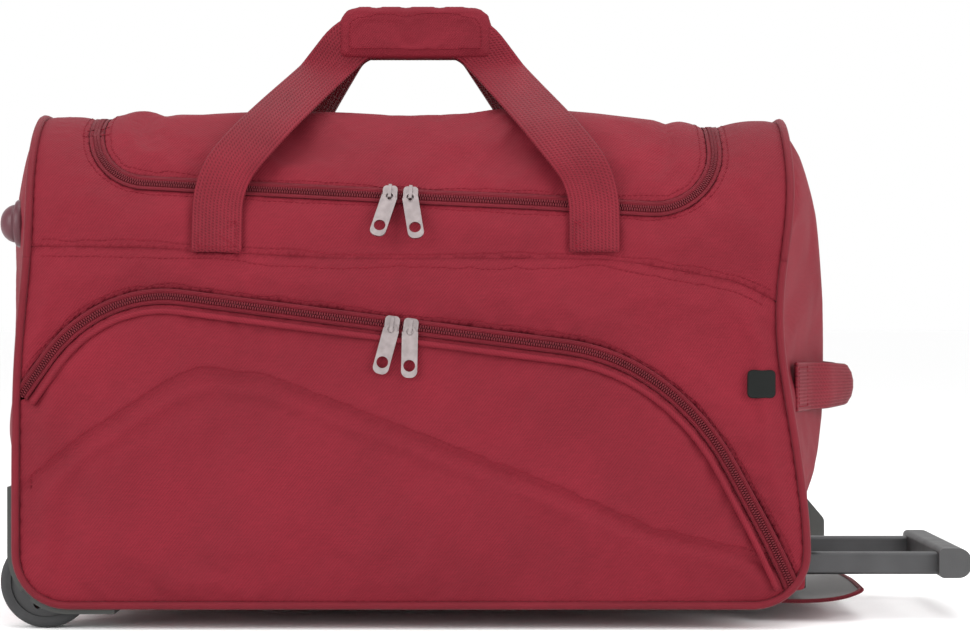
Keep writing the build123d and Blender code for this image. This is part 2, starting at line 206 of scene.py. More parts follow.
def rounded_box(x0, x1, z0, z1, radii, step):
    """A closed box outline with rounded corners, from the middle of its lower edge."""
    middle = (x0 + x1) / 2
    return rounded([(middle, z0), (x1, z0), (x1, z1), (x0, z1), (x0, z0), (middle, z0)], radii, step)


def read_at(at, along, line):
    """The points of a line at given distances along it."""
    return np.stack([np.interp(at, along, line[:, k]) for k in range(line.shape[1])], 1)


def resample(line, step):
    """The line with evenly spaced points, about step apart."""
    gaps = np.linalg.norm(np.diff(line, axis=0), axis=1)
    along = np.concatenate([[0], np.cumsum(gaps)])
    count = max(2, int(round(along[-1] / step)) + 1)
    at = np.linspace(0, along[-1], count)
    return read_at(at, along, line)


def shifted(line, amount):
    """The line moved sideways, to its left when amount is positive."""
    along = np.gradient(line, axis=0)
    along /= np.linalg.norm(along, axis=1)[:, None]
    return line + amount * np.stack([-along[:, 1], along[:, 0]], 1)


ARCH = rounded([(-345, 81), (-235.6, 238), (204.9, 181.7), (320, -60)], [105, 160], 4)
ARCH = ARCH[(ARCH[:, 0] > -294) & (ARCH[:, 1] > 8)]
DECOR = rounded([(-294, 82), (-240, 124), (-165, 172), (-110, 167), (112, 82), (180, 52), (292, 26)],
                [60, 60, 40, 200, 90], 4)
YOKE = rounded([(-295, 268), (-200, 267), (-60, 259), (150, 259), (255, 242), (295, 226)],
               [200, 200, 120, 90], 5)
ZIP_W = 10
LID_X0 = -247
LID_X1 = 236
LID_HINGE_S = S_TOP + FLAT_TOP + SHOULDER_R * math.asin(0.5)


def lid_line():
    """The U-shaped zip on the unrolled wrap, from the hinge at the left round to the right."""
    front = rounded([(LID_X0, 352), (LID_X0, 318), (LID_X1, 294), (LID_X1, 348)], [44, 50], 3)
    s = shoulder_s(front[:, 1])
    left = np.array([[LID_X0, LID_HINGE_S], [front[0, 0], s[0]]])
    right = np.array([[front[-1, 0], s[-1]], [LID_X1, LID_HINGE_S]])
    middle = np.stack([front[:, 0], s], 1)
    return resample(np.concatenate([left, middle[1:-1], right]), 5)


LID = lid_line()


# ---- meshes ----

def inside(points, loop):
    """Which points lie inside a closed loop."""
    x, y = points[:, 0], points[:, 1]
    result = np.zeros(len(points), bool)
    for (x0, y0), (x1, y1) in zip(loop, np.roll(loop, -1, axis=0)):
        if y0 == y1:
            continue
        crossing = ((y0 > y) != (y1 > y)) & (x < (x1 - x0) * (y - y0) / (y1 - y0) + x0)
        result ^= crossing
    return result


CHUNK = 3000            # points compared at a time, to bound the memory
ROW_PITCH = 0.866       # height of an equilateral triangle of side 1
CLEAR_OF_LINE = 0.55    # grid points nearer than this part of a step to a seam are left out


def distance_to(points, lines):
    """Distance from each point to the nearest point of the lines."""
    marks = np.concatenate(lines)
    gap = np.empty(len(points))
    for start in range(0, len(points), CHUNK):
        part = points[start:start + CHUNK]
        gap[start:start + CHUNK] = np.min(np.linalg.norm(part[:, None] - marks[None], axis=2), axis=1)
    return gap


def lattice(low, high, step):
    """A grid of equilateral triangles over a box."""
    rows = []
    for k, y in enumerate(np.arange(low[1], high[1], step * ROW_PITCH)):
        x = np.arange(low[0] + (k % 2) * step / 2, high[0], step)
        rows.append(np.stack([x, np.full(len(x), y)], 1))
    return np.concatenate(rows)


def triangulate(outer, holes, step, creases=()):
    """Triangles of a flat pattern piece, with its edges, holes and creases on mesh lines."""
    loops = [outer, *holes]
    grid = lattice(outer.min(0), outer.max(0), step)
    grid = grid[inside(grid, outer)]
    for hole in holes:
        grid = grid[~inside(grid, hole)]
    grid = grid[distance_to(grid, [*loops, *creases]) >= step * CLEAR_OF_LINE]
    points, edges = [], []
    for loop in loops:
        first = len(points)
        points += [tuple(p) for p in loop]
        edges += [(first + k, first + (k + 1) % len(loop)) for k in range(len(loop))]
    rim = len(points)
    for crease in creases:
        first = len(points)
        points += [tuple(p) for p in crease]
        edges += [(first + k, first + k + 1) for k in range(len(crease) - 1)]
    points += [tuple(p) for p in grid]
    verts, _, faces, origins, _, _ = delaunay_2d_cdt([Vector(p) for p in points], edges, [], 0, 1e-4)
    verts = np.array([tuple(v) for v in verts])
    faces = np.array([f for f in faces if len(f) == 3])
    centres = verts[faces].mean(axis=1)
    keep = inside(centres, outer)
    for hole in holes:
        keep &= ~inside(centres, hole)
    faces = faces[keep]
    on_rim = np.array([any(o < rim for o in origin) for origin in origins])
    used = np.unique(faces)
    index = -np.ones(len(verts), int)
    index[used] = np.arange(len(used))
    return verts[used], index[faces], on_rim[used]


def new_object(name, verts, faces, body):
    """A smooth-shaded piece that rides on a body; verts are in bag millimetres."""
    mesh = bpy.data.meshes.new(name)
    mesh.from_pydata([place(v) for v in verts], [], [tuple(int(i) for i in f) for f in faces])
    mesh.update()
    piece = bpy.data.objects.new(name, mesh)
    bpy.context.scene.collection.objects.link(piece)
    mesh.polygons.foreach_set("use_smooth", [True] * len(mesh.polygons))
    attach(piece, body)
    return piece


def store(piece, flat, name="pattern"):
    """Keeps each point's place on the flat pattern, in metres, for the weave."""
    layer = piece.data.attributes.new(name, "FLOAT_VECTOR", "POINT")
    data = np.zeros((len(piece.data.vertices), 3), np.float32)
    data[:, :2] = np.asarray(flat)[:len(data)] * MM
    layer.data.foreach_set("vector", data.ravel())


def sheet_outward(piece):
    """Turns the faces of an open sheet away from the middle of the bag."""
    middle = Vector(place((0, 0, 180)))
    total = 0.0
    for face in list(piece.data.polygons)[::7]:
        total += face.normal.dot(face.center - middle)
    if total <= 0:
        piece.data.flip_normals()


def dress(piece, flat, material):
    """Gives a piece its pattern and its material."""
    store(piece, flat)
    piece.data.materials.append(MATERIALS[material])


def face_outward(piece):
    """Turns every face of a closed piece outwards."""
    bm = bmesh.new()
    bm.from_mesh(piece.data)
    bmesh.ops.recalc_face_normals(bm, faces=bm.faces)
    bm.to_mesh(piece.data)
    bm.free()


def apply_all(piece):
    """Applies every modifier of a piece."""
    bpy.ops.object.select_all(action="DESELECT")
    piece.select_set(True)
    bpy.context.view_layer.objects.active = piece
    for modifier in list(piece.modifiers):
        bpy.ops.object.modifier_apply(modifier=modifier.name)


SIM_FRAMES = 18
CLOTH_SETTINGS = {"quality": 5, "mass": 0.25, "bending_stiffness": 2.0, "bending_damping": 1,
                  "tension_stiffness": 30, "compression_stiffness": 30, "shear_stiffness": 12,
                  "tension_damping": 15, "compression_damping": 15, "shear_damping": 10,
                  "use_pressure": True, "vertex_group_mass": "sewn"}


def crumple(piece, pinned, slack, pressure, cap, loose=1.0):
    """Lets a sewn panel settle: a little too much cloth between held edges, pushed out from inside.

    No point moves further than cap mm, and less where loose is under 1.
    """
    rest = np.array([v.co[:] for v in piece.data.vertices])
    group = piece.vertex_groups.new(name="sewn")
    group.add([int(k) for k in np.nonzero(pinned)[0]], 1.0, "REPLACE")
    cloth = piece.modifiers.new("Cloth", "CLOTH")
    settings = cloth.settings
    for setting, value in CLOTH_SETTINGS.items():
        setattr(settings, setting, value)
    settings.shrink_min = -slack
    settings.uniform_pressure_force = pressure
    settings.effector_weights.gravity = 0
    cloth.collision_settings.use_collision = False
    cloth.point_cache.frame_start = 1
    cloth.point_cache.frame_end = SIM_FRAMES
    scene = bpy.context.scene
    for number in range(1, SIM_FRAMES + 1):
        scene.frame_set(number)
    shape = piece.evaluated_get(bpy.context.evaluated_depsgraph_get()).to_mesh()
    moved = np.array([v.co[:] for v in shape.vertices])
    piece.modifiers.remove(cloth)
    scene.frame_set(1)
    step = moved - rest
    length = np.linalg.norm(step, axis=1)[:, None]
    step *= np.minimum(1, cap * MM / np.maximum(length, 1e-9)) * np.reshape(loose, (-1, 1))
    piece.data.vertices.foreach_set("co", (rest + step).astype(np.float32).ravel())
    piece.data.update()
    piece.vertex_groups.clear()


def thicken(piece, amount, levels=1, lined=False):
    """Smooths a sheet and gives it a thickness, towards the inside of the bag."""
    if levels:
        smooth = piece.modifiers.new("Smooth", "SUBSURF")
        smooth.levels = levels
        smooth.render_levels = levels
    thick = piece.modifiers.new("Thick", "SOLIDIFY")
    thick.thickness = amount * MM
    thick.offset = -1
    if lined:
        thick.material_offset = 1
    apply_all(piece)


def soft(flat, on_rim, amplitude, seed):
    """Gentle uneven swell of a padded panel, zero at its seams."""
    phase = np.random.default_rng(seed).uniform(0, 2 * math.pi, (7, 2))
    value = np.zeros(len(flat))
    for k, (p, q) in enumerate(phase):
        length = 55 + 32 * k
        along = np.sin(flat[:, 0] / length * 2 + p + 0.7 * math.sin(q))
        value += along * np.cos(flat[:, 1] / length * 1.7 + q)
    return amplitude * value / 3.5 * ~on_rim


def fade(flat, loops, width):
    """0 on the seams, rising to 1 at width mm inside the panel."""
    return np.sin(np.clip(distance_to(flat, loops) / width, 0, 1) * math.pi / 2)


STRAPS_X = (-145, 138)


def pressed(flat):
    """How far the cloth is free to swell: little under the handle straps and the zip pulls."""
    free = np.ones(len(flat))
    for x in STRAPS_X:
        strap = bump(flat[:, 0], x, 27) * bump(flat[:, 1], 283, 34)
        free *= 1 - 0.9 * np.clip(strap * 1.6, 0, 1)
    pulls = bump(flat[:, 0], -6, 46) * bump(flat[:, 1], 190, 34)
    lid_pulls = bump(flat[:, 0], -8, 50) * bump(flat[:, 1], 285, 36)
    return free * (1 - 0.85 * np.clip((pulls + lid_pulls) * 1.5, 0, 1))


SEAM_FADE = 26          # how far from a seam the padding reaches its full height
CREASE_FADE = 9
CREASE_DEPTH = 2.6
SWELL = 1.2
PANEL_T = 2.2


def panel(name, surface, outer, holes, body, stands_for, step, puff, slack, pressure, cap, creases=(),
          seed=1, on_front=True):
    """One sewn, padded panel of the shell, made from its flat pattern.

    step is the mesh size and puff the height of the padding, in mm; slack, pressure and cap are
    crumple's.
    """
    flat, faces, on_rim = triangulate(outer, holes, step, creases)
    rise = fade(flat, [outer, *holes], SEAM_FADE)
    free = pressed(flat) if on_front else np.ones(len(flat))
    crease_rise = fade(flat, creases, CREASE_FADE) if creases else np.ones(len(flat))
    out = puff * rise * (0.35 + 0.65 * crease_rise) * free + soft(flat, on_rim, SWELL, seed) * rise * free
    out = out - CREASE_DEPTH * (1 - crease_rise)
    piece = new_object(name, surface(flat, out), faces, body)
    sheet_outward(piece)
    store(piece, flat)
    crumple(piece, on_rim | (crease_rise < 0.5), slack, pressure, cap, free)
    piece.data.materials.append(MATERIALS["shell"])
    piece.data.materials.append(MATERIALS["lining"])
    thicken(piece, PANEL_T, 1, True)
    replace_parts(piece, *stands_for)
    return piece


# ---- materials ----

class Shader:
    """A Principled material with a few helpers for its nodes."""

    def __init__(self, name, color, roughness, **sockets):
        self.material = bpy.data.materials.new(name)
        self.material.use_nodes = True
        self.tree = self.material.node_tree
        self.principled = self.tree.nodes["Principled BSDF"]
        self.principled.inputs["Base Color"].default_value = (*color, 1)
        self.principled.inputs["Roughness"].default_value = roughness
        for socket, value in sockets.items():
            self.principled.inputs[socket.replace("_", " ")].default_value = value
        self.height = None

    def node(self, kind, **settings):
        made = self.tree.nodes.new("ShaderNode" + kind)
        for key, value in settings.items():
            setattr(made, key, value)
        return made

    def link(self, source, target):
        self.tree.links.new(source, target)

    def pattern(self):
        made = self.node("Attribute", attribute_name="pattern")
        return made.outputs["Vector"]

    def place(self):
        return self.node("TexCoord").outputs["Object"]

    def mapped(self, source, scale=(1, 1, 1), turn=0.0):
        made = self.node("Mapping")
        made.inputs["Scale"].default_value = scale
        made.inputs["Rotation"].default_value = (0, 0, turn)
        self.link(source, made.inputs["Vector"])
        return made.outputs["Vector"]

    def noise(self, source, scale, detail=3.0, roughness=0.5):
        made = self.node("TexNoise")
        made.inputs["Scale"].default_value = scale
        made.inputs["Detail"].default_value = detail
        made.inputs["Roughness"].default_value = roughness
        self.link(source, made.inputs["Vector"])
        return made.outputs["Fac"]

    def wave(self, source, period, direction="X"):
        """Bands of the given period in metres."""
        made = self.node("TexWave", bands_direction=direction)
        made.inputs["Scale"].default_value = 2 * math.pi / (20 * period)
        self.link(source, made.inputs["Vector"])
        return made.outputs["Fac"]

    def math(self, operation, a, b):
        made = self.node("Math", operation=operation)
        for socket, value in zip(made.inputs, (a, b)):
            if isinstance(value, (int, float)):
                socket.default_value = value
            else:
                self.link(value, socket)
        return made.outputs[0]

    def ramp(self, source, low, high, start=0.0, finish=1.0):
        made = self.node("ValToRGB")
        elements = made.color_ramp.elements
        elements[0].position = start
        elements[0].color = (*low, 1)
        elements[1].position = finish
        elements[1].color = (*high, 1)
        self.link(source, made.inputs["Fac"])
        return made.outputs["Color"]

    def span(self, source, low, high):
        made = self.node("MapRange")
        made.inputs["To Min"].default_value = low
        made.inputs["To Max"].default_value = high
        self.link(source, made.inputs["Value"])
        return made.outputs["Result"]

    def multiply(self, color, factor_color):
        made = self.node("MixRGB", blend_type="MULTIPLY")
        made.inputs["Fac"].default_value = 1.0
        self.link(color, made.inputs["Color1"])
        self.link(factor_color, made.inputs["Color2"])
        return made.outputs["Color"]

    def color(self, source):
        self.link(source, self.principled.inputs["Base Color"])

    def rough(self, source, low, high):
        self.link(self.span(source, low, high), self.principled.inputs["Roughness"])

    def bump(self, source, depth, strength=1.0):
        made = self.node("Bump")
        made.inputs["Distance"].default_value = depth
        made.inputs["Strength"].default_value = strength
        self.link(source, made.inputs["Height"])
        if self.height is not None:
            self.link(self.height, made.inputs["Normal"])
        self.height = made.outputs["Normal"]
        self.link(self.height, self.principled.inputs["Normal"])


def shade(color, factor):
    return tuple(c * factor for c in color)


GREY = (1.0, 1.0, 1.0)


def woven(name, color, period, creases, sheen=0.02, roughness=0.66):
    """Padded twill: diagonal ribs crossed by the filling yarn, uneven dye, and small creases."""
    s = Shader(name, color, roughness, Sheen_Weight=sheen, Sheen_Roughness=0.45,
               Specular_IOR_Level=0.12)
    s.principled.inputs["Sheen Tint"].default_value = (1.0, 0.72, 0.74, 1)
    flat = s.pattern()
    ribs = s.wave(s.mapped(flat, turn=math.radians(38)), period)
    filling = s.wave(s.mapped(flat, turn=math.radians(-52)), period * 0.62)
    weave = s.math("MULTIPLY", ribs, s.span(filling, 0.55, 1.0))
    dye = s.noise(flat, 9, 4, 0.6)
    slub = s.noise(s.mapped(flat, (60, 600, 1)), 1.4, 2)
    base = s.ramp(dye, shade(color, 0.84), shade(color, 1.10), 0.3, 0.72)
    threads = s.ramp(weave, shade(GREY, 0.80), shade(GREY, 1.0), 0.05, 0.7)
    uneven = s.ramp(slub, shade(GREY, 0.88), GREY, 0.3, 0.65)
    s.color(s.multiply(s.multiply(base, threads), uneven))
    s.rough(dye, roughness - 0.06, roughness + 0.08)
    s.bump(s.noise(flat, 16, 5, 0.58), creases)
    s.bump(s.noise(s.mapped(flat, (1, 2.2, 1), 0.5), 42, 3, 0.5), creases * 0.3)
    s.bump(weave, 0.00022, 0.9)
    return s.material


def webbing(name, color, period=0.0021):
    """Ribbed webbing: pattern X runs along the strap and Y across it."""
    s = Shader(name, color, 0.6, Sheen_Weight=0.02, Sheen_Roughness=0.4, Specular_IOR_Level=0.12)
    flat = s.pattern()
    ribs = s.wave(flat, period * 1.3, "Y")
    picks = s.wave(s.mapped(flat, turn=math.radians(28)), period * 0.9)
    weave = s.math("MAXIMUM", ribs, picks)
    base = s.ramp(s.noise(flat, 24, 3), shade(color, 0.85), shade(color, 1.12), 0.3, 0.7)
    s.color(s.multiply(base, s.ramp(weave, shade(GREY, 0.62), GREY, 0.1, 0.8)))
    s.rough(weave, 0.68, 0.52)
    s.bump(s.noise(flat, 60, 3), 0.0008)
    s.bump(weave, 0.0004)
    return s.material


def moulded(name, color, roughness, grain=0.00008, size=900, specular=0.4):
    """Plastic with a fine grain, slightly worn and dusty."""
    s = Shader(name, color, roughness, Specular_IOR_Level=specular)
    where = s.place()
    dust = s.noise(where, 14, 5, 0.6)
    s.color(s.ramp(dust, shade(color, 0.86), shade(color, 1.22), 0.35, 0.75))
    s.rough(s.noise(where, 45, 3), roughness - 0.08, roughness + 0.1)
    s.bump(s.noise(where, size, 2), grain)
    return s.material


def drawn_metal(name, color, roughness, metallic=1.0):
    """Drawn tube or rod, with faint lines along X."""
    s = Shader(name, color, roughness, Metallic=metallic)
    where = s.place()
    lines = s.noise(s.mapped(where, (4, 700, 700)), 1.0, 3)
    s.color(s.ramp(s.noise(where, 30, 4), shade(color, 0.88), shade(color, 1.12), 0.3, 0.7))
    s.rough(lines, roughness - 0.07, roughness + 0.12)
    s.bump(lines, 0.00002)
    return s.material


def cast_metal(name, color, roughness):
    """Polished die-cast zip hardware, with fine scratches."""
    s = Shader(name, color, roughness, Metallic=1.0)
    where = s.place()
    scratches = s.noise(s.mapped(where, (900, 60, 250), 0.4), 1.0, 4, 0.7)
    s.color(s.ramp(s.noise(where, 160, 3), shade(color, 0.85), shade(color, 1.1), 0.35, 0.7))
    s.rough(scratches, roughness - 0.06, roughness + 0.14)
    s.bump(scratches, 0.00002)
    return s.material


def rubber(name, color):
    s = Shader(name, color, 0.78)
    where = s.place()
    scuffs = s.noise(where, 70, 6, 0.7)
    s.color(s.ramp(scuffs, shade(color, 0.8), shade(color, 1.5), 0.4, 0.8))
    s.rough(scuffs, 0.68, 0.9)
    s.bump(scuffs, 0.0002)
    return s.material


WINE = (0.168, 0.0098, 0.0195)
MATERIALS = {
    "shell": woven("shell_twill", WINE, 0.0019, 0.0016),
    "wrap": woven("wrap_twill", shade(WINE, 0.95), 0.0016, 0.0008),
    "piping": woven("piping_cloth", shade(WINE, 0.86), 0.0012, 0.0003, 0.05, 0.5),
    "webbing": webbing("strap_webbing", shade(WINE, 0.82)),
    "tape": webbing("zip_tape", shade(WINE, 0.80), 0.0009),
    "teeth": moulded("zip_coil", (0.105, 0.008, 0.014), 0.55, 0.00002, 900, 0.2),
    "thread": moulded("thread", (0.140, 0.007, 0.015), 0.6, 0.00002, 900, 0.1),
    "lining": woven("grey_lining", (0.13, 0.13, 0.127), 0.0011, 0.0008, 0.05, 0.38),
    "zip_metal": cast_metal("zip_metal", (0.36, 0.31, 0.31), 0.3),
    "tube": drawn_metal("anodised_tube", (0.066, 0.066, 0.068), 0.42, 0.7),
    "steel": drawn_metal("steel", (0.55, 0.55, 0.54), 0.3),
    "plastic": moulded("housing_plastic", (0.036, 0.038, 0.035), 0.55),
    "grip": moulded("grip_plastic", (0.042, 0.042, 0.043), 0.5),
    "hub": moulded("hub_plastic", (0.026, 0.026, 0.027), 0.45),
    "tyre": rubber("tyre_rubber", (0.022, 0.022, 0.023)),
    "tab": moulded("tab_rubber", (0.010, 0.011, 0.0105), 0.8, specular=0.08),
    "stud": moulded("stud_plastic", (0.070, 0.018, 0.025), 0.36, specular=0.3),
}

LEFT_RIGHT = ("left", "right")
FRONT_REAR = ("front", "rear")
CARRIED = {
    "zip_metal": [f"{zipper}_zip_{side}_{part}" for zipper in ("lid", "pocket") for side in LEFT_RIGHT
                  for part in ("slider", "pull")],
    "tube": ["trolley_tube_front", "trolley_tube_rear", "guide_tubes"],
    "steel": [*[f"wheel_{side}_axle" for side in FRONT_REAR],
              *[f"lock_pin_{side}" for side in FRONT_REAR], "push_rods"],
    "plastic": [*[f"wheel_{side}_housing" for side in FRONT_REAR], "trolley_collar", "trolley_hood",
                "guide_bracket", "base_board"],
    "stud": ["stand_feet"],
    "grip": ["trolley_grip", "release_button"],
    "hub": [f"wheel_{side}_hub" for side in FRONT_REAR],
    "tyre": [f"wheel_{side}_tyre" for side in FRONT_REAR],
    "tab": ["side_tab"],
}


def dress_carried_nodes():
    """Gives the CAD nodes that are shown as they are their materials."""
    for kind, names in CARRIED.items():
        for name in names:
            for slot in nodes[name].material_slots:
                slot.material = MATERIALS[kind]


dress_carried_nodes()


# ---- sewn shell ----

def on_wrap(flat, out):
    return wrap(flat[:, 0], flat[:, 1], out)


def straight(a, b, step=6.0):
    return resample(np.array([a, b], float), step)


def foot_edge(at_front):
    """Lower edge of a wrap panel with its two round corners, from right to left."""
    steps = np.linspace(0, math.pi / 2, 9)
    x = HALF_X - CORNER_R + CORNER_R * np.cos(steps)
    s = CORNER_R - CORNER_R * np.sin(steps)
    if not at_front:
        s = S_END - s
    right = np.stack([x, s], 1)
    left = right * (-1, 1)
    return [right, straight(right[-1], left[-1]), left[::-1]]


def joined(*lines):
    """A closed loop from lines laid end to end, without doubled points."""
    points = np.concatenate(lines)
    gap = np.linalg.norm(points - np.roll(points, 1, axis=0), axis=1)
    return points[gap > 0.5]


POCKET_OUT = 3.0
YOKE_S = np.stack([YOKE[:, 0], shoulder_s(YOKE[:, 1])], 1)
UPPER_ARCH = shifted(ARCH, ZIP_W / 2)
LOWER_ARCH = shifted(ARCH, -ZIP_W / 2)


def arch_to_side(line):
    """The arch line cut where it meets the sides of the bag."""
    return line[(np.abs(line[:, 0]) < HALF_X - 1) & (line[:, 1] > 9)]


def on_pocket(flat, out):
    """The pocket and its zip stand a little proud of the bag, and return to it at the sides and foot."""
    sides = np.clip((HALF_X - np.abs(flat[:, 0])) / 25, 0, 1)
    foot = np.clip(flat[:, 1] / 40, 0, 1)
    return wrap(flat[:, 0], flat[:, 1], out + POCKET_OUT * np.minimum(sides, foot))


def hinge_point(distance):
    """A point on the section, that far towards the front of the lid's hinge line."""
    y, z, _, _ = section(np.array([LID_HINGE_S - distance]))
    return place((0, y[0], z[0]))


def make_shell():
    """The front above the pocket, the band round the lid, the lid and the rear."""
    cloths = {}
    upper = arch_to_side(UPPER_ARCH)
    front_upper = joined(
        YOKE_S, straight((HALF_X, YOKE_S[-1, 1]), (HALF_X, upper[-1, 1])), upper[::-1],
        straight((-HALF_X, upper[0, 1]), (-HALF_X, YOKE_S[0, 1])))
    cloths["upper"] = panel("front_upper_cloth", on_wrap, front_upper, [], "root", ["front_panel"],
                            step=7, puff=4.0, slack=0.014, pressure=0.35, cap=8, seed=3)
    lid_out = shifted(LID, -ZIP_W / 2)
    lid_in = shifted(LID, ZIP_W / 2)
    lid_out[[0, -1], 1] = LID_HINGE_S
    lid_in[[0, -1], 1] = LID_HINGE_S
    surround = joined(YOKE_S, straight((HALF_X, YOKE_S[-1, 1]), (HALF_X, S_REAR)),
                      straight((HALF_X, S_REAR), (-HALF_X, S_REAR)),
                      straight((-HALF_X, S_REAR), (-HALF_X, YOKE_S[0, 1])))
    hole = joined(lid_out, straight(lid_out[-1], lid_out[0]))
    cloths["surround"] = panel(
        "top_surround_cloth", on_wrap, surround, [hole], "root",
        ["front_yoke", "left_top_strip", "right_top_strip", "rear_yoke"],
        step=7, puff=2.5, slack=0.012, pressure=0.3, cap=7, seed=4)
    lid = joined(lid_in, straight(lid_in[-1], lid_in[0]))
    cloths["lid"] = panel("lid_cloth", on_wrap, lid, [], "lid", ["lid_panel"],
                          step=7, puff=4.0, slack=0.014, pressure=0.3, cap=9, seed=5)
    rear = joined(straight((-HALF_X, S_REAR), (HALF_X, S_REAR)),
                  straight((HALF_X, S_REAR), (HALF_X, S_END - CORNER_R)), *foot_edge(False),
                  straight((-HALF_X, S_END - CORNER_R), (-HALF_X, S_REAR)))
    panel("rear_cloth", on_wrap, rear, [], "root", ["rear_panel"],
          step=8, puff=4.0, slack=0.010, pressure=0.3, cap=7, seed=6, on_front=False)
    return cloths


def free_of_parent(piece):
    """Takes a piece off its body without moving it."""
    matrix = piece.matrix_world.copy()
    piece.parent = None
    piece.matrix_world = matrix


def fold_with_pocket(piece):
    """Takes the piece off its body without moving it, and bakes its place into its mesh."""
    free_of_parent(piece)
    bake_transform(piece)


def make_pocket():
    """The pocket's outer panel, with the decor seam as a crease."""
    lower = arch_to_side(LOWER_ARCH)
    outline = joined(lower, straight((HALF_X, lower[-1, 1]), (HALF_X, CORNER_R), 5),
                     *foot_edge(True), straight((-HALF_X, CORNER_R), (-HALF_X, lower[0, 1])))
    piece = panel("pocket_cloth", on_pocket, outline, [], "root", ["pocket_flap", "pocket_lower_panel"],
                  step=6.5, puff=2.6, slack=0.012, pressure=0.3, cap=8, creases=[DECOR[2:-2]], seed=8)
    fold_with_pocket(piece)
    return piece


HOUSING_TOP = 86        # top of the wheel housings on the left end
HOUSING_Y = 108         # their inner sides
BAY_TOP = 77            # top of the trolley bay in the right end
BAY_Y = 98              # and its sides


def make_ends():
    """The left end is cut back over the wheels, and the right one over the trolley bay."""
    left_foot = [(HALF_Y, HOUSING_TOP), (HOUSING_Y, HOUSING_TOP), (HOUSING_Y, CORNER_R),
                 (-HOUSING_Y, CORNER_R), (-HOUSING_Y, HOUSING_TOP), (-HALF_Y, HOUSING_TOP)]
    right_foot = [(HALF_Y, CORNER_R), (BAY_Y, CORNER_R), (BAY_Y, BAY_TOP), (-BAY_Y, BAY_TOP),
                  (-BAY_Y, CORNER_R), (-HALF_Y, CORNER_R)]
    for side, name, start, foot in ((-1, "left", HOUSING_TOP, left_foot),
                                    (1, "right", CORNER_R, right_foot)):
        y, z, _, _ = section(np.linspace(start, S_END - start, 150))
        rim = joined(np.stack([y, z], 1), *[straight(a, b) for a, b in zip(foot, foot[1:])])
        panel(f"{name}_end_cloth", lambda flat, out, side=side: end(side, flat[:, 0], flat[:, 1], out),
              rim, [], "root", [f"{name}_end_panel"],
              step=7.5, puff=2.5, slack=0.012, pressure=0.35, cap=7, seed=10 + side, on_front=False)


def strip_point(t, y, out=0.0):
    """The base strip: t runs from the left end round the corner, along the base, and up at the right."""
    t = np.asarray(t, float)
    quarter = CORNER_R * math.pi / 2
    flat_length = LENGTH - 2 * CORNER_R
    x = np.empty_like(t)
    z = np.empty_like(t)
    nx = np.zeros_like(t)
    nz = -np.ones_like(t)
    left = t < quarter
    a = t[left] / CORNER_R
    x[left] = -HALF_X + CORNER_R - CORNER_R * np.cos(a)
    z[left] = CORNER_R - CORNER_R * np.sin(a)
    nx[left] = -np.cos(a)
    nz[left] = -np.sin(a)
    middle = (t >= quarter) & (t <= quarter + flat_length)
    x[middle] = -HALF_X + CORNER_R + t[middle] - quarter
    z[middle] = 0
    right = t > quarter + flat_length
    a = (t[right] - quarter - flat_length) / CORNER_R
    x[right] = HALF_X - CORNER_R + CORNER_R * np.sin(a)
    z[right] = CORNER_R - CORNER_R * np.cos(a)
    nx[right] = np.sin(a)
    nz[right] = -np.cos(a)
    return np.stack([x + nx * out + waist(x, z), np.asarray(y, float), z + nz * out], 1)


WELL_LENGTH = 35        # of the wheel wells, past the round corner of the base
WELL_Y = 110            # their inner sides
BAY_LENGTH = 4          # of the trolley bay's cut in the flat of the base


def make_base():
    """The base strip, cut out for the wheel wells and the trolley bay."""
    quarter = CORNER_R * math.pi / 2
    total = LENGTH - 2 * CORNER_R + 2 * quarter
    well = quarter + WELL_LENGTH
    bay = total - quarter - BAY_LENGTH
    corners = [(0, -WELL_Y), (well, -WELL_Y), (well, -HALF_Y), (total, -HALF_Y), (total, -BAY_Y),
               (bay, -BAY_Y), (bay, BAY_Y), (total, BAY_Y), (total, HALF_Y), (well, HALF_Y),
               (well, WELL_Y), (0, WELL_Y), (0, -WELL_Y)]
    outline = joined(*[straight(a, b) for a, b in zip(corners, corners[1:])])
    panel("base_cloth", lambda flat, out: strip_point(flat[:, 0], flat[:, 1], out), outline, [],
          "root", ["bottom_panel"],
          step=8, puff=0.8, slack=0.004, pressure=0.05, cap=2, seed=12, on_front=False)


CLOTHS = make_shell()
CLOTHS["pocket"] = make_pocket()
make_ends()
make_base()


# ---- piping, zips and stitches ----

def frames_along(line):
    """Tangents and two side vectors that turn as little as possible."""
    tangent = unit_rows(np.gradient(line, axis=0))
    side = np.zeros_like(line)
    start = np.cross(tangent[0], (0.3, 0.5, 0.81))
    side[0] = start / np.linalg.norm(start)
    for k in range(1, len(line)):
        carried = side[k - 1] - tangent[k] * (side[k - 1] @ tangent[k])
        side[k] = carried / np.linalg.norm(carried)
    return side, np.cross(tangent, side)


def unit_rows(v):
    """Each row scaled to length 1."""
    return v / np.linalg.norm(v, axis=1)[:, None]


def run_of(line):
    """Distance along a line at each of its points."""
    return np.concatenate([[0], np.cumsum(np.linalg.norm(np.diff(line, axis=0), axis=1))])


def loop_faces(rows, sides):
    """Quads round a tube of closed rings, with caps at both ends."""
    faces = [(k * sides + j, k * sides + (j + 1) % sides, (k + 1) * sides + (j + 1) % sides,
              (k + 1) * sides + j) for k in range(rows - 1) for j in range(sides)]
    faces.append(tuple(range(sides))[::-1])
    faces.append(tuple((rows - 1) * sides + j for j in range(sides)))
    return faces


def from_rings(name, rings, flat, body, material):
    """A closed piece from rings of points, (rows, sides, 3)."""
    rows, sides, _ = rings.shape
    piece = new_object(name, rings.reshape(-1, 3), loop_faces(rows, sides), body)
    face_outward(piece)
    dress(piece, flat.reshape(-1, 2), material)
    return piece


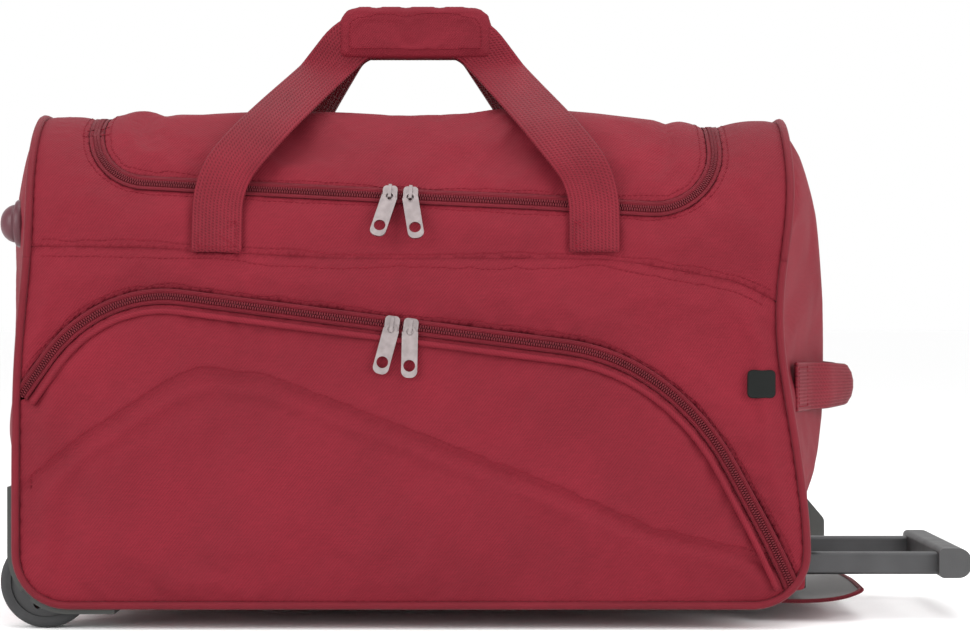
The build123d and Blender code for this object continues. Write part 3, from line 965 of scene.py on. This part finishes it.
def tube(name, line, radius, body, material, sides=10):
    """A round cord along a line."""
    a, b = frames_along(line)
    turns = np.linspace(0, 2 * math.pi, sides, endpoint=False)
    rings = line[:, None] + radius * (np.cos(turns)[None, :, None] * a[:, None]
                                      + np.sin(turns)[None, :, None] * b[:, None])
    flat = np.stack(np.broadcast_arrays(run_of(line)[:, None], (turns * radius)[None, :]), 2)
    return from_rings(name, rings, flat, body, material)


TAPE_T = 0.8


def strip_on(name, surface, line, across, heights, body, material):
    """A strip along a line of the flat pattern, with its places across and their heights."""
    rows = np.stack([surface(shifted(line, offset), np.full(len(line), float(height)))
                     for offset, height in zip(across, heights)], 1)
    n, m, _ = rows.shape
    faces = [(i * m + j, i * m + j + 1, (i + 1) * m + j + 1, (i + 1) * m + j)
             for i in range(n - 1) for j in range(m - 1)]
    piece = new_object(name, rows.reshape(-1, 3), faces, body)
    sheet_outward(piece)
    flat = np.stack(np.broadcast_arrays(run_of(line)[:, None], np.asarray(across, float)[None, :]), 2)
    dress(piece, flat.reshape(-1, 2), material)
    thicken(piece, TAPE_T, 0)
    return piece


def bars(name, centres, ahead, out, length, width, height, body, slot, material):
    """Many small rounded bars in one mesh: zip teeth or stitches."""
    third = np.cross(ahead, out)
    ring = [(math.cos(t), math.sin(t)) for t in np.linspace(0, 2 * math.pi, 6, endpoint=False)]
    stations = [(-0.5, 0.45), (-0.3, 1.0), (0.3, 1.0), (0.5, 0.45)]
    verts = np.stack([centres + ahead * reach * length + third * c * girth * width / 2
                      + out * s * girth * height / 2 for reach, girth in stations for c, s in ring], 1)
    per = len(stations) * 6
    faces = [tuple(k * per + i for i in face) for k in range(len(centres))
             for face in loop_faces(len(stations), 6)]
    piece = new_object(name, verts.reshape(-1, 3), faces, body)
    piece.data.materials.append(MATERIALS[material])
    return piece


TOOTH_PITCH = 1.9
TOOTH_SIZE = (2.6, 1.3, 1.7)                # length, width, height
TOOTH_UP = 0.9                              # middle of a tooth above the panel


def coil(name, surface, line, side, body):
    """One side of a coil zip: a row of teeth that reach across to the middle."""
    fine = resample(line, TOOTH_PITCH)
    if side > 0:
        fine = (fine[:-1] + fine[1:]) / 2
    centre = surface(shifted(fine, side * 1.2), np.full(len(fine), TOOTH_UP))
    inner = surface(shifted(fine, side * 0.2), np.full(len(fine), TOOTH_UP))
    above = surface(shifted(fine, side * 1.2), np.full(len(fine), TOOTH_UP + 1))
    return bars(name, centre, unit_rows(inner - centre), unit_rows(above - centre), *TOOTH_SIZE, body,
                "zip_teeth", "teeth")


def on_cloth(piece, points):
    """Nearest places on a finished piece, in bag millimetres, with its normals there."""
    mesh = piece.data
    tree = BVHTree.FromPolygons([v.co for v in mesh.vertices], [p.vertices for p in mesh.polygons])
    found, normals = [], []
    for p in points:
        spot, normal, _, _ = tree.find_nearest(Vector(place(p)))
        found.append(((spot[0] - MIDDLE_X) / MM, spot[1] / MM, (spot[2] - BASE_Z) / MM))
        normals.append(tuple(normal))
    return np.array(found), np.array(normals)


THREAD_W = 0.8
THREAD_T = 0.7


def stitch_row(name, points, out, body, slot="shell_fabric", pitch=4.2, length=3.0):
    """A row of stitches along points, which lie on a surface with outward normals out."""
    along = run_of(points)
    at = np.arange(pitch / 2, along[-1], pitch)
    centres = read_at(at, along, points)
    normal = unit_rows(read_at(at, along, out))
    ahead = unit_rows(read_at(at + 0.5, along, points) - read_at(at - 0.5, along, points))
    return bars(name, centres + normal * 0.15, ahead, normal, length, THREAD_W, THREAD_T, body, slot,
                "thread")


PROBE_OUT = 12.0        # places on the cloth are looked for from this far outside it


def stitch_seam(name, cloth, surface, line, body):
    """Stitches along a line of the flat pattern, laid on the finished cloth."""
    spots, normals = on_cloth(cloth, surface(line, np.full(len(line), PROBE_OUT)))
    return stitch_row(name, spots, normals, body)


PIPE_R = 3.1
PIPE_OUT = 1.0


def make_piping():
    """A cord round the front and rear panels, and one over the top at each end."""
    outline = rounded([(-HALF_X, WALL_TOP), (-HALF_X, 0), (HALF_X, 0), (HALF_X, WALL_TOP)],
                      [CORNER_R, CORNER_R], 6)
    away = unit_rows(np.stack([np.gradient(outline[:, 1]), -np.gradient(outline[:, 0])], 1)) * PIPE_OUT
    for name, side in (("front", -1), ("rear", 1)):
        x = outline[:, 0] + waist(outline[:, 0], outline[:, 1]) + away[:, 0]
        z = outline[:, 1] + away[:, 1]
        wobble = 0.4 * np.sin(np.arange(len(x)) / 5.3 + side)
        line = np.stack([x, np.full(len(x), side * (HALF_Y + PIPE_OUT)) + wobble, z], 1)
        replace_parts(tube(f"{name}_piping_cord", line, PIPE_R, "root", "piping"),
                    f"{name}_piping")
    for name, side in (("left", -1), ("right", 1)):
        s = np.linspace(WALL_TOP - 3, S_REAR + 3, 110)
        _, _, ny, nz = section(s)
        line = wrap(np.full(len(s), side * HALF_X), s)
        line = line + PIPE_OUT * np.stack([np.full(len(s), side), ny, nz], 1)
        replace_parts(tube(f"{name}_top_piping_cord", line, PIPE_R, "root", "piping"),
                    f"{name}_top_piping")


TAPE_PLACES = (0.4, 2.4, 3.4, 5.9)          # across the tape, from the middle of the zip
TAPE_HEIGHTS = (0.2, 0.3, 1.2, 1.4)         # above the panel at those places
WELT_BELOW = 11
WELT_R = 2.4


def make_zip(name, surface, line, halves):
    """The tape and the coil of each half; halves are (side, body, CAD name)."""
    for side, body, who in halves:
        tape = strip_on(f"{name}_zip_{who}_tape", surface, line, [side * w for w in TAPE_PLACES],
                        TAPE_HEIGHTS, body, "tape")
        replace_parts(tape, f"{name}_zip_{who}_side")
        coil(f"{name}_zip_{who}_teeth", surface, line, side, body)


def make_welt():
    """A corded edge below the pocket zip, lower where the pulls hang over it."""
    line = arch_to_side(shifted(ARCH, -WELT_BELOW))
    points = on_pocket(line, 3.8 - 3.2 * bump(line[:, 0], -6, 36))
    fold_with_pocket(tube("pocket_welt", points, WELT_R, "root", "shell"))


SEAM_OFF = 3            # from the edge of a zip to its row of stitches


def make_seam_stitches():
    """Rows of stitches beside the seams and zips."""
    stitch_seam("yoke_stitches_upper", CLOTHS["surround"], on_wrap, shifted(YOKE_S, 4)[2:-2], "root")
    stitch_seam("yoke_stitches_lower", CLOTHS["upper"], on_wrap, shifted(YOKE_S, -4)[2:-2], "root")
    upper = arch_to_side(shifted(ARCH, ZIP_W / 2 + SEAM_OFF))
    stitch_seam("arch_stitches", CLOTHS["upper"], on_wrap, upper, "root")
    lid_edge = shifted(LID, ZIP_W / 2 + SEAM_OFF)[2:-2]
    stitch_seam("lid_edge_stitches", CLOTHS["lid"], on_wrap, lid_edge, "lid")
    lid_frame = shifted(LID, -ZIP_W / 2 - SEAM_OFF)[2:-2]
    stitch_seam("lid_frame_stitches", CLOTHS["surround"], on_wrap, lid_frame, "root")
    decor = stitch_seam("decor_stitches", CLOTHS["pocket"], on_pocket, shifted(DECOR[2:-2], 2.5), "root")
    fold_with_pocket(decor)


# ---- handles ----

WEBBING = 38
STRAP_T = 2.4
WEBBING_STITCH = (3.2, 2.3)                 # pitch and length
ACROSS = np.array([-0.5, -0.47, -0.3, -0.1, 0.1, 0.3, 0.47, 0.5])       # places across the webbing
HALF_T = np.array([0.3, 1, 1, 1, 1, 1, 1, 0.3]) * STRAP_T / 2           # half its thickness there
PATCH_Z0 = 264
PATCH_Z1 = 291
WRAP_Z = 443.5
LIFT_Z = (284, 335)     # the webbing leaves the cloth between these heights
SIDE_PATH = rounded([(-152.6, 250), (-152.6, 343), (-7, 418), (-7, 475)], [88, 3], 2)
FRONT_PATH = rounded([(STRAPS_X[0], PATCH_Z0), (STRAPS_X[0], 318), (-48, WRAP_Z), (44, WRAP_Z),
                      (STRAPS_X[1], 318), (STRAPS_X[1], PATCH_Z0)], [70, 40, 40, 70], 4)


def smooth_step(value, low, high):
    """0 below low, 1 above high, eased in between."""
    t = np.clip((value - low) / (high - low), 0, 1)
    return t * t * (3 - 2 * t)


STRAP_OUT = 3.4         # middle of the webbing off the bag's shape, at its sewn ends


def strap_y(x, z):
    """Middle of the webbing: on the cloth at its sewn ends, then up and back into the wrap."""
    free = np.interp(z, SIDE_PATH[:, 1], SIDE_PATH[:, 0])
    on_bag = wrap(x, shoulder_s(z), STRAP_OUT)[:, 1]
    t = smooth_step(z, *LIFT_Z)
    return on_bag * (1 - t) + free * t


def turn_to_rear(points, side):
    """Points of the front handle, mirrored to the rear when side is 1."""
    out = points.copy()
    out[..., 1] *= -side
    return out


def fold_with_handle(piece):
    """Takes the webbing off its body without moving it, and bakes its place into its mesh."""
    free_of_parent(piece)
    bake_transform(piece)


def webbing_from(name, line, face, back):
    """A piece of webbing along a line, from the points of its two faces."""
    rings = np.concatenate([face, back[:, ::-1]], 1)
    places = np.concatenate([ACROSS, ACROSS[::-1]]) * WEBBING
    flat = np.stack(np.broadcast_arrays(run_of(line)[:, None], places[None, :]), 2)
    return from_rings(name, rings, flat, "root", "webbing")


def box_line(x0, x1, z0, z1):
    """A closed rectangle of stitches."""
    return resample(np.array([(x0, z0), (x1, z0), (x1, z1), (x0, z1), (x0, z0)], float), 2)


def make_strap(name, side):
    """One carry handle's webbing; side is -1 at the front and 1 at the rear."""
    path = FRONT_PATH
    sideways = unit_rows(np.stack([-np.gradient(path[:, 1]), np.gradient(path[:, 0])], 1))
    flat_points = path[:, None] + sideways[:, None] * (ACROSS * WEBBING)[None, :, None]
    x, z = flat_points[..., 0], flat_points[..., 1]
    y = strap_y(x.ravel(), z.ravel()).reshape(x.shape)
    middle = np.stack([x, y, z], 2)
    slope = (strap_y(x.ravel(), z.ravel() + 1) - y.ravel()).reshape(x.shape)
    out = np.stack([np.zeros_like(slope), -np.ones_like(slope), slope], 2)
    out /= np.linalg.norm(out, axis=2)[..., None]
    ripple = 0.7 * np.sin(run_of(path) / 15)[:, None] * np.sin(ACROSS * 3 + 1)[None, :]
    face = middle + out * (HALF_T + ripple)[..., None]
    back = middle + out * (ripple - HALF_T)[..., None]
    piece = webbing_from(f"{name}_webbing", path, turn_to_rear(face, side), turn_to_rear(back, side))
    fold_with_handle(piece)
    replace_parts(piece, f"{name}_sewn_ends", f"{name}_strap")


def make_patch(name, side, x):
    """The crossed box of stitches that holds the foot of the webbing."""
    inset = 4
    x0 = x - WEBBING / 2 + inset
    x1 = x + WEBBING / 2 - inset
    z0 = PATCH_Z0 + inset
    z1 = PATCH_Z1 - inset
    for part, line in (("box", box_line(x0, x1, z0, z1)), ("cross", straight((x0, z0), (x1, z1), 2)),
                       ("other_cross", straight((x1, z0), (x0, z1), 2))):
        y = strap_y(line[:, 0], line[:, 1]) - STRAP_T / 2
        points = turn_to_rear(np.stack([line[:, 0], y, line[:, 1]], 1), side)
        out = np.tile([0.0, side, 0.0], (len(points), 1))
        stitch_row(f"{name}_{part}_stitches", points, out, "root", "webbing", *WEBBING_STITCH)


WRAP_LENGTH = 124
WRAP_HEIGHT = 43
WRAP_T = 12.5
WRAP_GAP = 0.3          # half the gap between the two pads
EDGE_ROUND = 7.5        # how far from its edge a pad reaches its full thickness
SEAM_ROUND = 2.6        # width of the groove at the stitched border
SEAM_DEPTH = 1.1
WRAP_STITCH = (3.6, 2.7)


def make_wrap(name, side):
    """One padded half of the wrap, with a stitched border, closed over the webbing."""
    x0, x1 = -WRAP_LENGTH / 2, WRAP_LENGTH / 2
    z0, z1 = WRAP_Z - WRAP_HEIGHT / 2, WRAP_Z + WRAP_HEIGHT / 2
    outline = rounded_box(x0, x1, z0, z1, [6, 17, 17, 6], 3)[:-1]
    border = rounded_box(x0 + 7, x1 - 7, z0 + 6, z1 - 7, [4, 11, 11, 4], 3)
    flat, faces, on_rim = triangulate(outline, [], 3.4, [border])
    edge = fade(flat, [outline], EDGE_ROUND)
    seam = 1 - fade(flat, [border], SEAM_ROUND)
    middle_out = WRAP_T / 2
    swell = 0.3 * edge * soft(flat, on_rim, 1, 21)
    face = middle_out + (WRAP_T / 2 - 1.2) * edge - SEAM_DEPTH * seam + swell
    back = middle_out - (WRAP_T / 2 - 0.5) * edge
    count = len(flat)
    front_points = np.stack([flat[:, 0], side * (face + WRAP_GAP), flat[:, 1]], 1)
    back_points = np.stack([flat[:, 0], side * (back + WRAP_GAP), flat[:, 1]], 1)
    number = np.where(on_rim, np.arange(count), np.cumsum(~on_rim) - 1 + count)
    points = np.concatenate([front_points, back_points[~on_rim]])
    all_faces = [tuple(f) for f in faces] + [tuple(number[i] for i in f[::-1]) for f in faces]
    piece = new_object(f"{name}_wrap_pad", points, all_faces, name)
    face_outward(piece)
    store(piece, np.concatenate([flat, flat[~on_rim]]))
    held = np.ones(len(points), bool)
    held[:count] = (seam > 0.5) | on_rim
    crumple(piece, held, slack=0.012, pressure=0.5, cap=1.6)
    piece.data.materials.append(MATERIALS["wrap"])
    smooth = piece.modifiers.new("Smooth", "SUBSURF")
    smooth.levels = 1
    apply_all(piece)
    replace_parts(piece, f"{name}_wrap")
    probe = np.stack([border[:, 0], np.full(len(border), side * 20.0), border[:, 1]], 1)
    spots, normals = on_cloth(piece, probe)
    stitch_row(f"{name}_wrap_stitches", spots, normals, name, "wrap_fabric", *WRAP_STITCH)


def make_handles():
    """Both carry handles, front and rear."""
    for name, side in (("front_handle", -1), ("rear_handle", 1)):
        make_strap(name, side)
        for x in STRAPS_X:
            make_patch(name, side, x)
        make_wrap(name, side)


GRAB_Z = 162
GRAB_OUT = 53           # how far it stands off the end
GRAB_NARROW = 0.22      # how much narrower it is where it is held


def make_grab_handle():
    """A webbing loop on the trolley end, folded narrower where the fingers go."""
    foot = HALF_X + 6
    knee = HALF_X + 14
    apex = HALF_X + GRAB_OUT
    path = rounded([(foot, -128), (knee, -96), (apex, -34), (apex, 34), (knee, 96), (foot, 128)],
                   [40, 30, 30, 40], 4)
    folded = bump(path[:, 1], 0, 62)
    on_bag = smooth_step(np.abs(path[:, 1]), 70, 105)
    cloth_x = end(1, path[:, 1], np.full(len(path), float(GRAB_Z)), 4.0)[:, 0]
    x = path[:, 0] * (1 - on_bag) + cloth_x * on_bag
    line = np.stack([x, path[:, 1]], 1)
    out = unit_rows(np.stack([np.gradient(line[:, 1]), -np.gradient(line[:, 0])], 1))
    width = WEBBING * (1 - GRAB_NARROW * folded)
    curl = -7 * folded[:, None] * (ACROSS ** 2 * 4)[None, :] ** 1.3
    faces = []
    for sign in (1, -1):
        stand = curl + sign * HALF_T[None, :]
        px = line[:, None, 0] + out[:, None, 0] * stand
        py = line[:, None, 1] + out[:, None, 1] * stand
        pz = GRAB_Z + width[:, None] * ACROSS[None, :]
        faces.append(np.stack([px, py, pz], 2))
    piece = webbing_from("grab_handle_webbing", line, *faces)
    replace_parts(piece, "grab_handle")
    for side, where in ((-1, "front"), (1, "rear")):
        line = box_line(101, 124, GRAB_Z - 15, GRAB_Z + 15)
        y = side * line[:, 0]
        x = end(1, y, np.full(len(y), float(GRAB_Z)), 4.0)[:, 0] + STRAP_T / 2
        stitch_row(f"grab_handle_{where}_stitches", np.stack([x, y, line[:, 1]], 1),
                   np.tile([1.0, 0.0, 0.0], (len(y), 1)), "root", "webbing", *WEBBING_STITCH)


# ---- cover flap of the trolley ----

FLAP_X0 = 275
FLAP_X1 = 348
FLAP_HALF = 99
FLAP_T = 0.8
BINDING_R = 1.6


def flap_z(x, y):
    """The flap curls up a little towards its rim."""
    u = (x - FLAP_X0) / 74
    return -2.6 + 6.5 * np.clip(u, 0, 1.1) ** 2.6 - 1.2 * np.sin(u * 3) + 1.1 * np.sin(y / 31 + u * 2) * u


def make_flap():
    """The open cover lies under the trolley: red outside, grey lining on top, zip on its rim."""
    outline = rounded([(FLAP_X0, 0), (FLAP_X0, -FLAP_HALF), (FLAP_X1, -FLAP_HALF + 6),
                       (FLAP_X1, FLAP_HALF - 6), (FLAP_X0, FLAP_HALF), (FLAP_X0, 0)],
                      [3, 26, 26, 3], 4)[:-1]
    flat, faces, on_rim = triangulate(outline, [], 5)
    rise = fade(flat, [outline], 9)
    z = flap_z(flat[:, 0], flat[:, 1])
    for part, offset, material, slot_name in (("lining", 1.4, "lining", "lining"),
                                              ("cloth", -1.4, "shell", "shell_fabric")):
        height = z + offset * (0.25 + 0.75 * rise) + soft(flat, on_rim, 0.5, 31)
        piece = new_object(f"trolley_flap_{part}", np.stack([flat[:, 0], flat[:, 1], height], 1), faces,
                           "trolley_flap")
        dress(piece, flat, material)
        faces_up = piece.data.polygons[0].normal.z > 0
        if faces_up != (offset > 0):
            piece.data.flip_normals()
        thicken(piece, FLAP_T)
        if part == "lining":
            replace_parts(piece, "trolley_flap")
    edge = np.array([p for p in resample(np.vstack([outline, outline[:1]]), 2) if p[0] > FLAP_X0 + 3])
    edge = edge[np.argsort(np.arctan2(edge[:, 1], edge[:, 0] - FLAP_X0))]
    rim = np.stack([edge[:, 0], edge[:, 1], flap_z(edge[:, 0], edge[:, 1])], 1)
    tube("trolley_flap_binding", rim, BINDING_R, "trolley_flap", "piping", 8)
    away = unit_rows(np.stack([np.gradient(edge[:, 1]), -np.gradient(edge[:, 0])], 1))
    if np.mean(away[:, 0]) < 0:
        away = -away
    away = np.concatenate([away, np.zeros((len(away), 1))], 1)
    bars("trolley_flap_teeth", rim + away * 2.2, away, np.tile([0.0, 0.0, 1.0], (len(rim), 1)), 2.6, 1.2,
         1.6, "trolley_flap", "zip_teeth", "teeth")


LINING_T = 0.8
LINING_DEPTH = 9        # behind the front of the bag
LINING_X = HALF_X - 5
LINING_Z0 = 8
LINING_Z1 = 257


def make_pocket_lining():
    """The grey wall between the pocket and the bag."""
    outline = rounded_box(-LINING_X, LINING_X, LINING_Z0, LINING_Z1, [34, 4, 4, 34], 8)[:-1]
    flat, faces, on_rim = triangulate(outline, [], 12)
    depth = soft(flat, on_rim, 1.5, 17) - LINING_DEPTH
    piece = new_object("pocket_lining", wrap(flat[:, 0], flat[:, 1], depth), faces, "root")
    dress(piece, flat, "lining")
    thicken(piece, LINING_T)
    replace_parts(piece, "pocket_backing")


BAND_REACH = 12         # each side of the hinge line
BAND_DEPTH = 2.6        # inside the cloth


def make_lid_hinge():
    """A band of lining inside the bag, along the lid's hinge line."""
    x = np.linspace(LID_X0 + 3, LID_X1 - 3, 60)
    s = np.linspace(LID_HINGE_S - BAND_REACH, LID_HINGE_S + BAND_REACH, 9)
    places = np.stack(np.meshgrid(x, s, indexing="ij"), 2)
    flat = places.reshape(-1, 2)
    n, m = len(x), len(s)
    faces = [(i * m + j, (i + 1) * m + j, (i + 1) * m + j + 1, i * m + j + 1)
             for i in range(n - 1) for j in range(m - 1)]
    piece = new_object("lid_hinge_band", wrap(flat[:, 0], flat[:, 1], -BAND_DEPTH), faces, "root")
    dress(piece, flat, "lining")
    thicken(piece, LINING_T, 0)
    free_of_parent(piece)
    hinge_point(-5)
    hinge_point(5)
    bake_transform(piece)


TAB_X = 263
TAB_Z = 165
TAB_HALF = 10
TAB_PROUD = 1.6
TAB_BEVEL = 0.5
TAB_T = 2.4


def make_tab():
    """A plain rubber label sewn to the front, with a bevelled edge."""
    outline = rounded_box(TAB_X - TAB_HALF, TAB_X + TAB_HALF, TAB_Z - TAB_HALF, TAB_Z + TAB_HALF,
                          [3, 3, 3, 3], 1.2)[:-1]
    flat, faces, _ = triangulate(outline, [], 1.5)
    inward = waist(flat[:, 0], flat[:, 1])
    seat, _ = on_cloth(CLOTHS["upper"], wrap(flat[:, 0] - inward, flat[:, 1], PROBE_OUT))
    proud = TAB_PROUD - TAB_BEVEL * fade(flat, [outline], 2.0) ** 2
    points = np.stack([flat[:, 0], seat[:, 1].min() - proud + 0.6, flat[:, 1]], 1)
    piece = new_object("side_label", points, faces, "root")
    sheet_outward(piece)
    piece.data.materials.append(MATERIALS["tab"])
    thicken(piece, TAB_T, 1)
    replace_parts(piece, "side_tab")


STUD_Y = 100
STUD_Z = 287
# radius, and distance out from the middle of the bag
FLANGE_PROFILE = [(5, 297), (18, 297), (18.5, 299), (18.2, 302.6), (17.2, 303.8), (5, 303.8)]


def make_stud_flanges():
    """The round plate behind each stand foot on the left end."""
    turns = np.linspace(0, 2 * math.pi, 40, endpoint=False)
    for who, y in (("front", -STUD_Y), ("rear", STUD_Y)):
        rings = np.array([[(-out, y + r * math.cos(t), STUD_Z + r * math.sin(t)) for t in turns]
                          for r, out in FLANGE_PROFILE])
        from_rings(f"stud_flange_{who}", rings, rings[..., 1:], "root", "stud")


make_piping()
make_stud_flanges()
make_lid_hinge()
make_pocket_lining()
make_tab()
make_zip("lid", on_wrap, LID, ((-1, "root", "bag"), (1, "lid", "lid")))
make_zip("pocket", on_pocket, arch_to_side(ARCH), ((1, "root", "bag"), (-1, "pocket_flap", "flap")))
make_welt()
make_seam_stitches()
make_handles()
make_grab_handle()
make_flap()


# ---- camera, light and floor ----

EYE = (56, -2150, 216.4)
LENS = 98.98
LAMP_AIM = Vector((0, 0, 0.2))
SOFTBOXES = (           # name, place in metres, width and height, watts
    ("left_softbox", (-1.7, -1.5, 1.0), (1.2, 1.6), 34),
    ("right_softbox", (1.8, -1.4, 1.0), (1.2, 1.6), 37),
    ("top_softbox", (0, -0.2, 1.9), (1.8, 1.4), 20),
)
FLOOR_HALF = 40
PAPER = (0.985, 0.985, 0.985)


def make_camera(scene):
    """Square to the front, level, at the height the photo was taken from."""
    data = bpy.data.cameras.new("Camera")
    data.lens = LENS
    data.sensor_width = 36
    data.clip_end = 50
    camera = bpy.data.objects.new("Camera", data)
    camera.location = place(EYE)
    camera.rotation_euler = (math.pi / 2, 0, 0)
    scene.collection.objects.link(camera)
    scene.camera = camera


def make_lights(scene):
    """A softbox at each side, one above, and white all round."""
    for name, spot, (width, height), watts in SOFTBOXES:
        data = bpy.data.lights.new(name, "AREA")
        data.shape = "RECTANGLE"
        data.size = width
        data.size_y = height
        data.energy = watts
        lamp = bpy.data.objects.new(name, data)
        lamp.location = spot
        lamp.rotation_euler = (LAMP_AIM - Vector(spot)).to_track_quat("-Z", "Y").to_euler()
        scene.collection.objects.link(lamp)
    world = bpy.data.worlds.new("World")
    world.use_nodes = True
    background = world.node_tree.nodes["Background"].inputs
    background["Color"].default_value = (1, 1, 1, 1)
    background["Strength"].default_value = 1.0
    scene.world = world
    scene.view_settings.view_transform = "Standard"


def make_floor(scene):
    """White paper, wide enough that its edge never shows."""
    mesh = bpy.data.meshes.new("floor")
    corners = [(x * FLOOR_HALF, y * FLOOR_HALF, 0) for x, y in ((-1, -1), (1, -1), (1, 1), (-1, 1))]
    mesh.from_pydata(corners, [], [(0, 1, 2, 3)])
    mesh.materials.append(Shader("floor_paper", PAPER, 0.9).material)
    floor = bpy.data.objects.new("floor", mesh)
    scene.collection.objects.link(floor)


make_camera(bpy.context.scene)
make_lights(bpy.context.scene)
make_floor(bpy.context.scene)
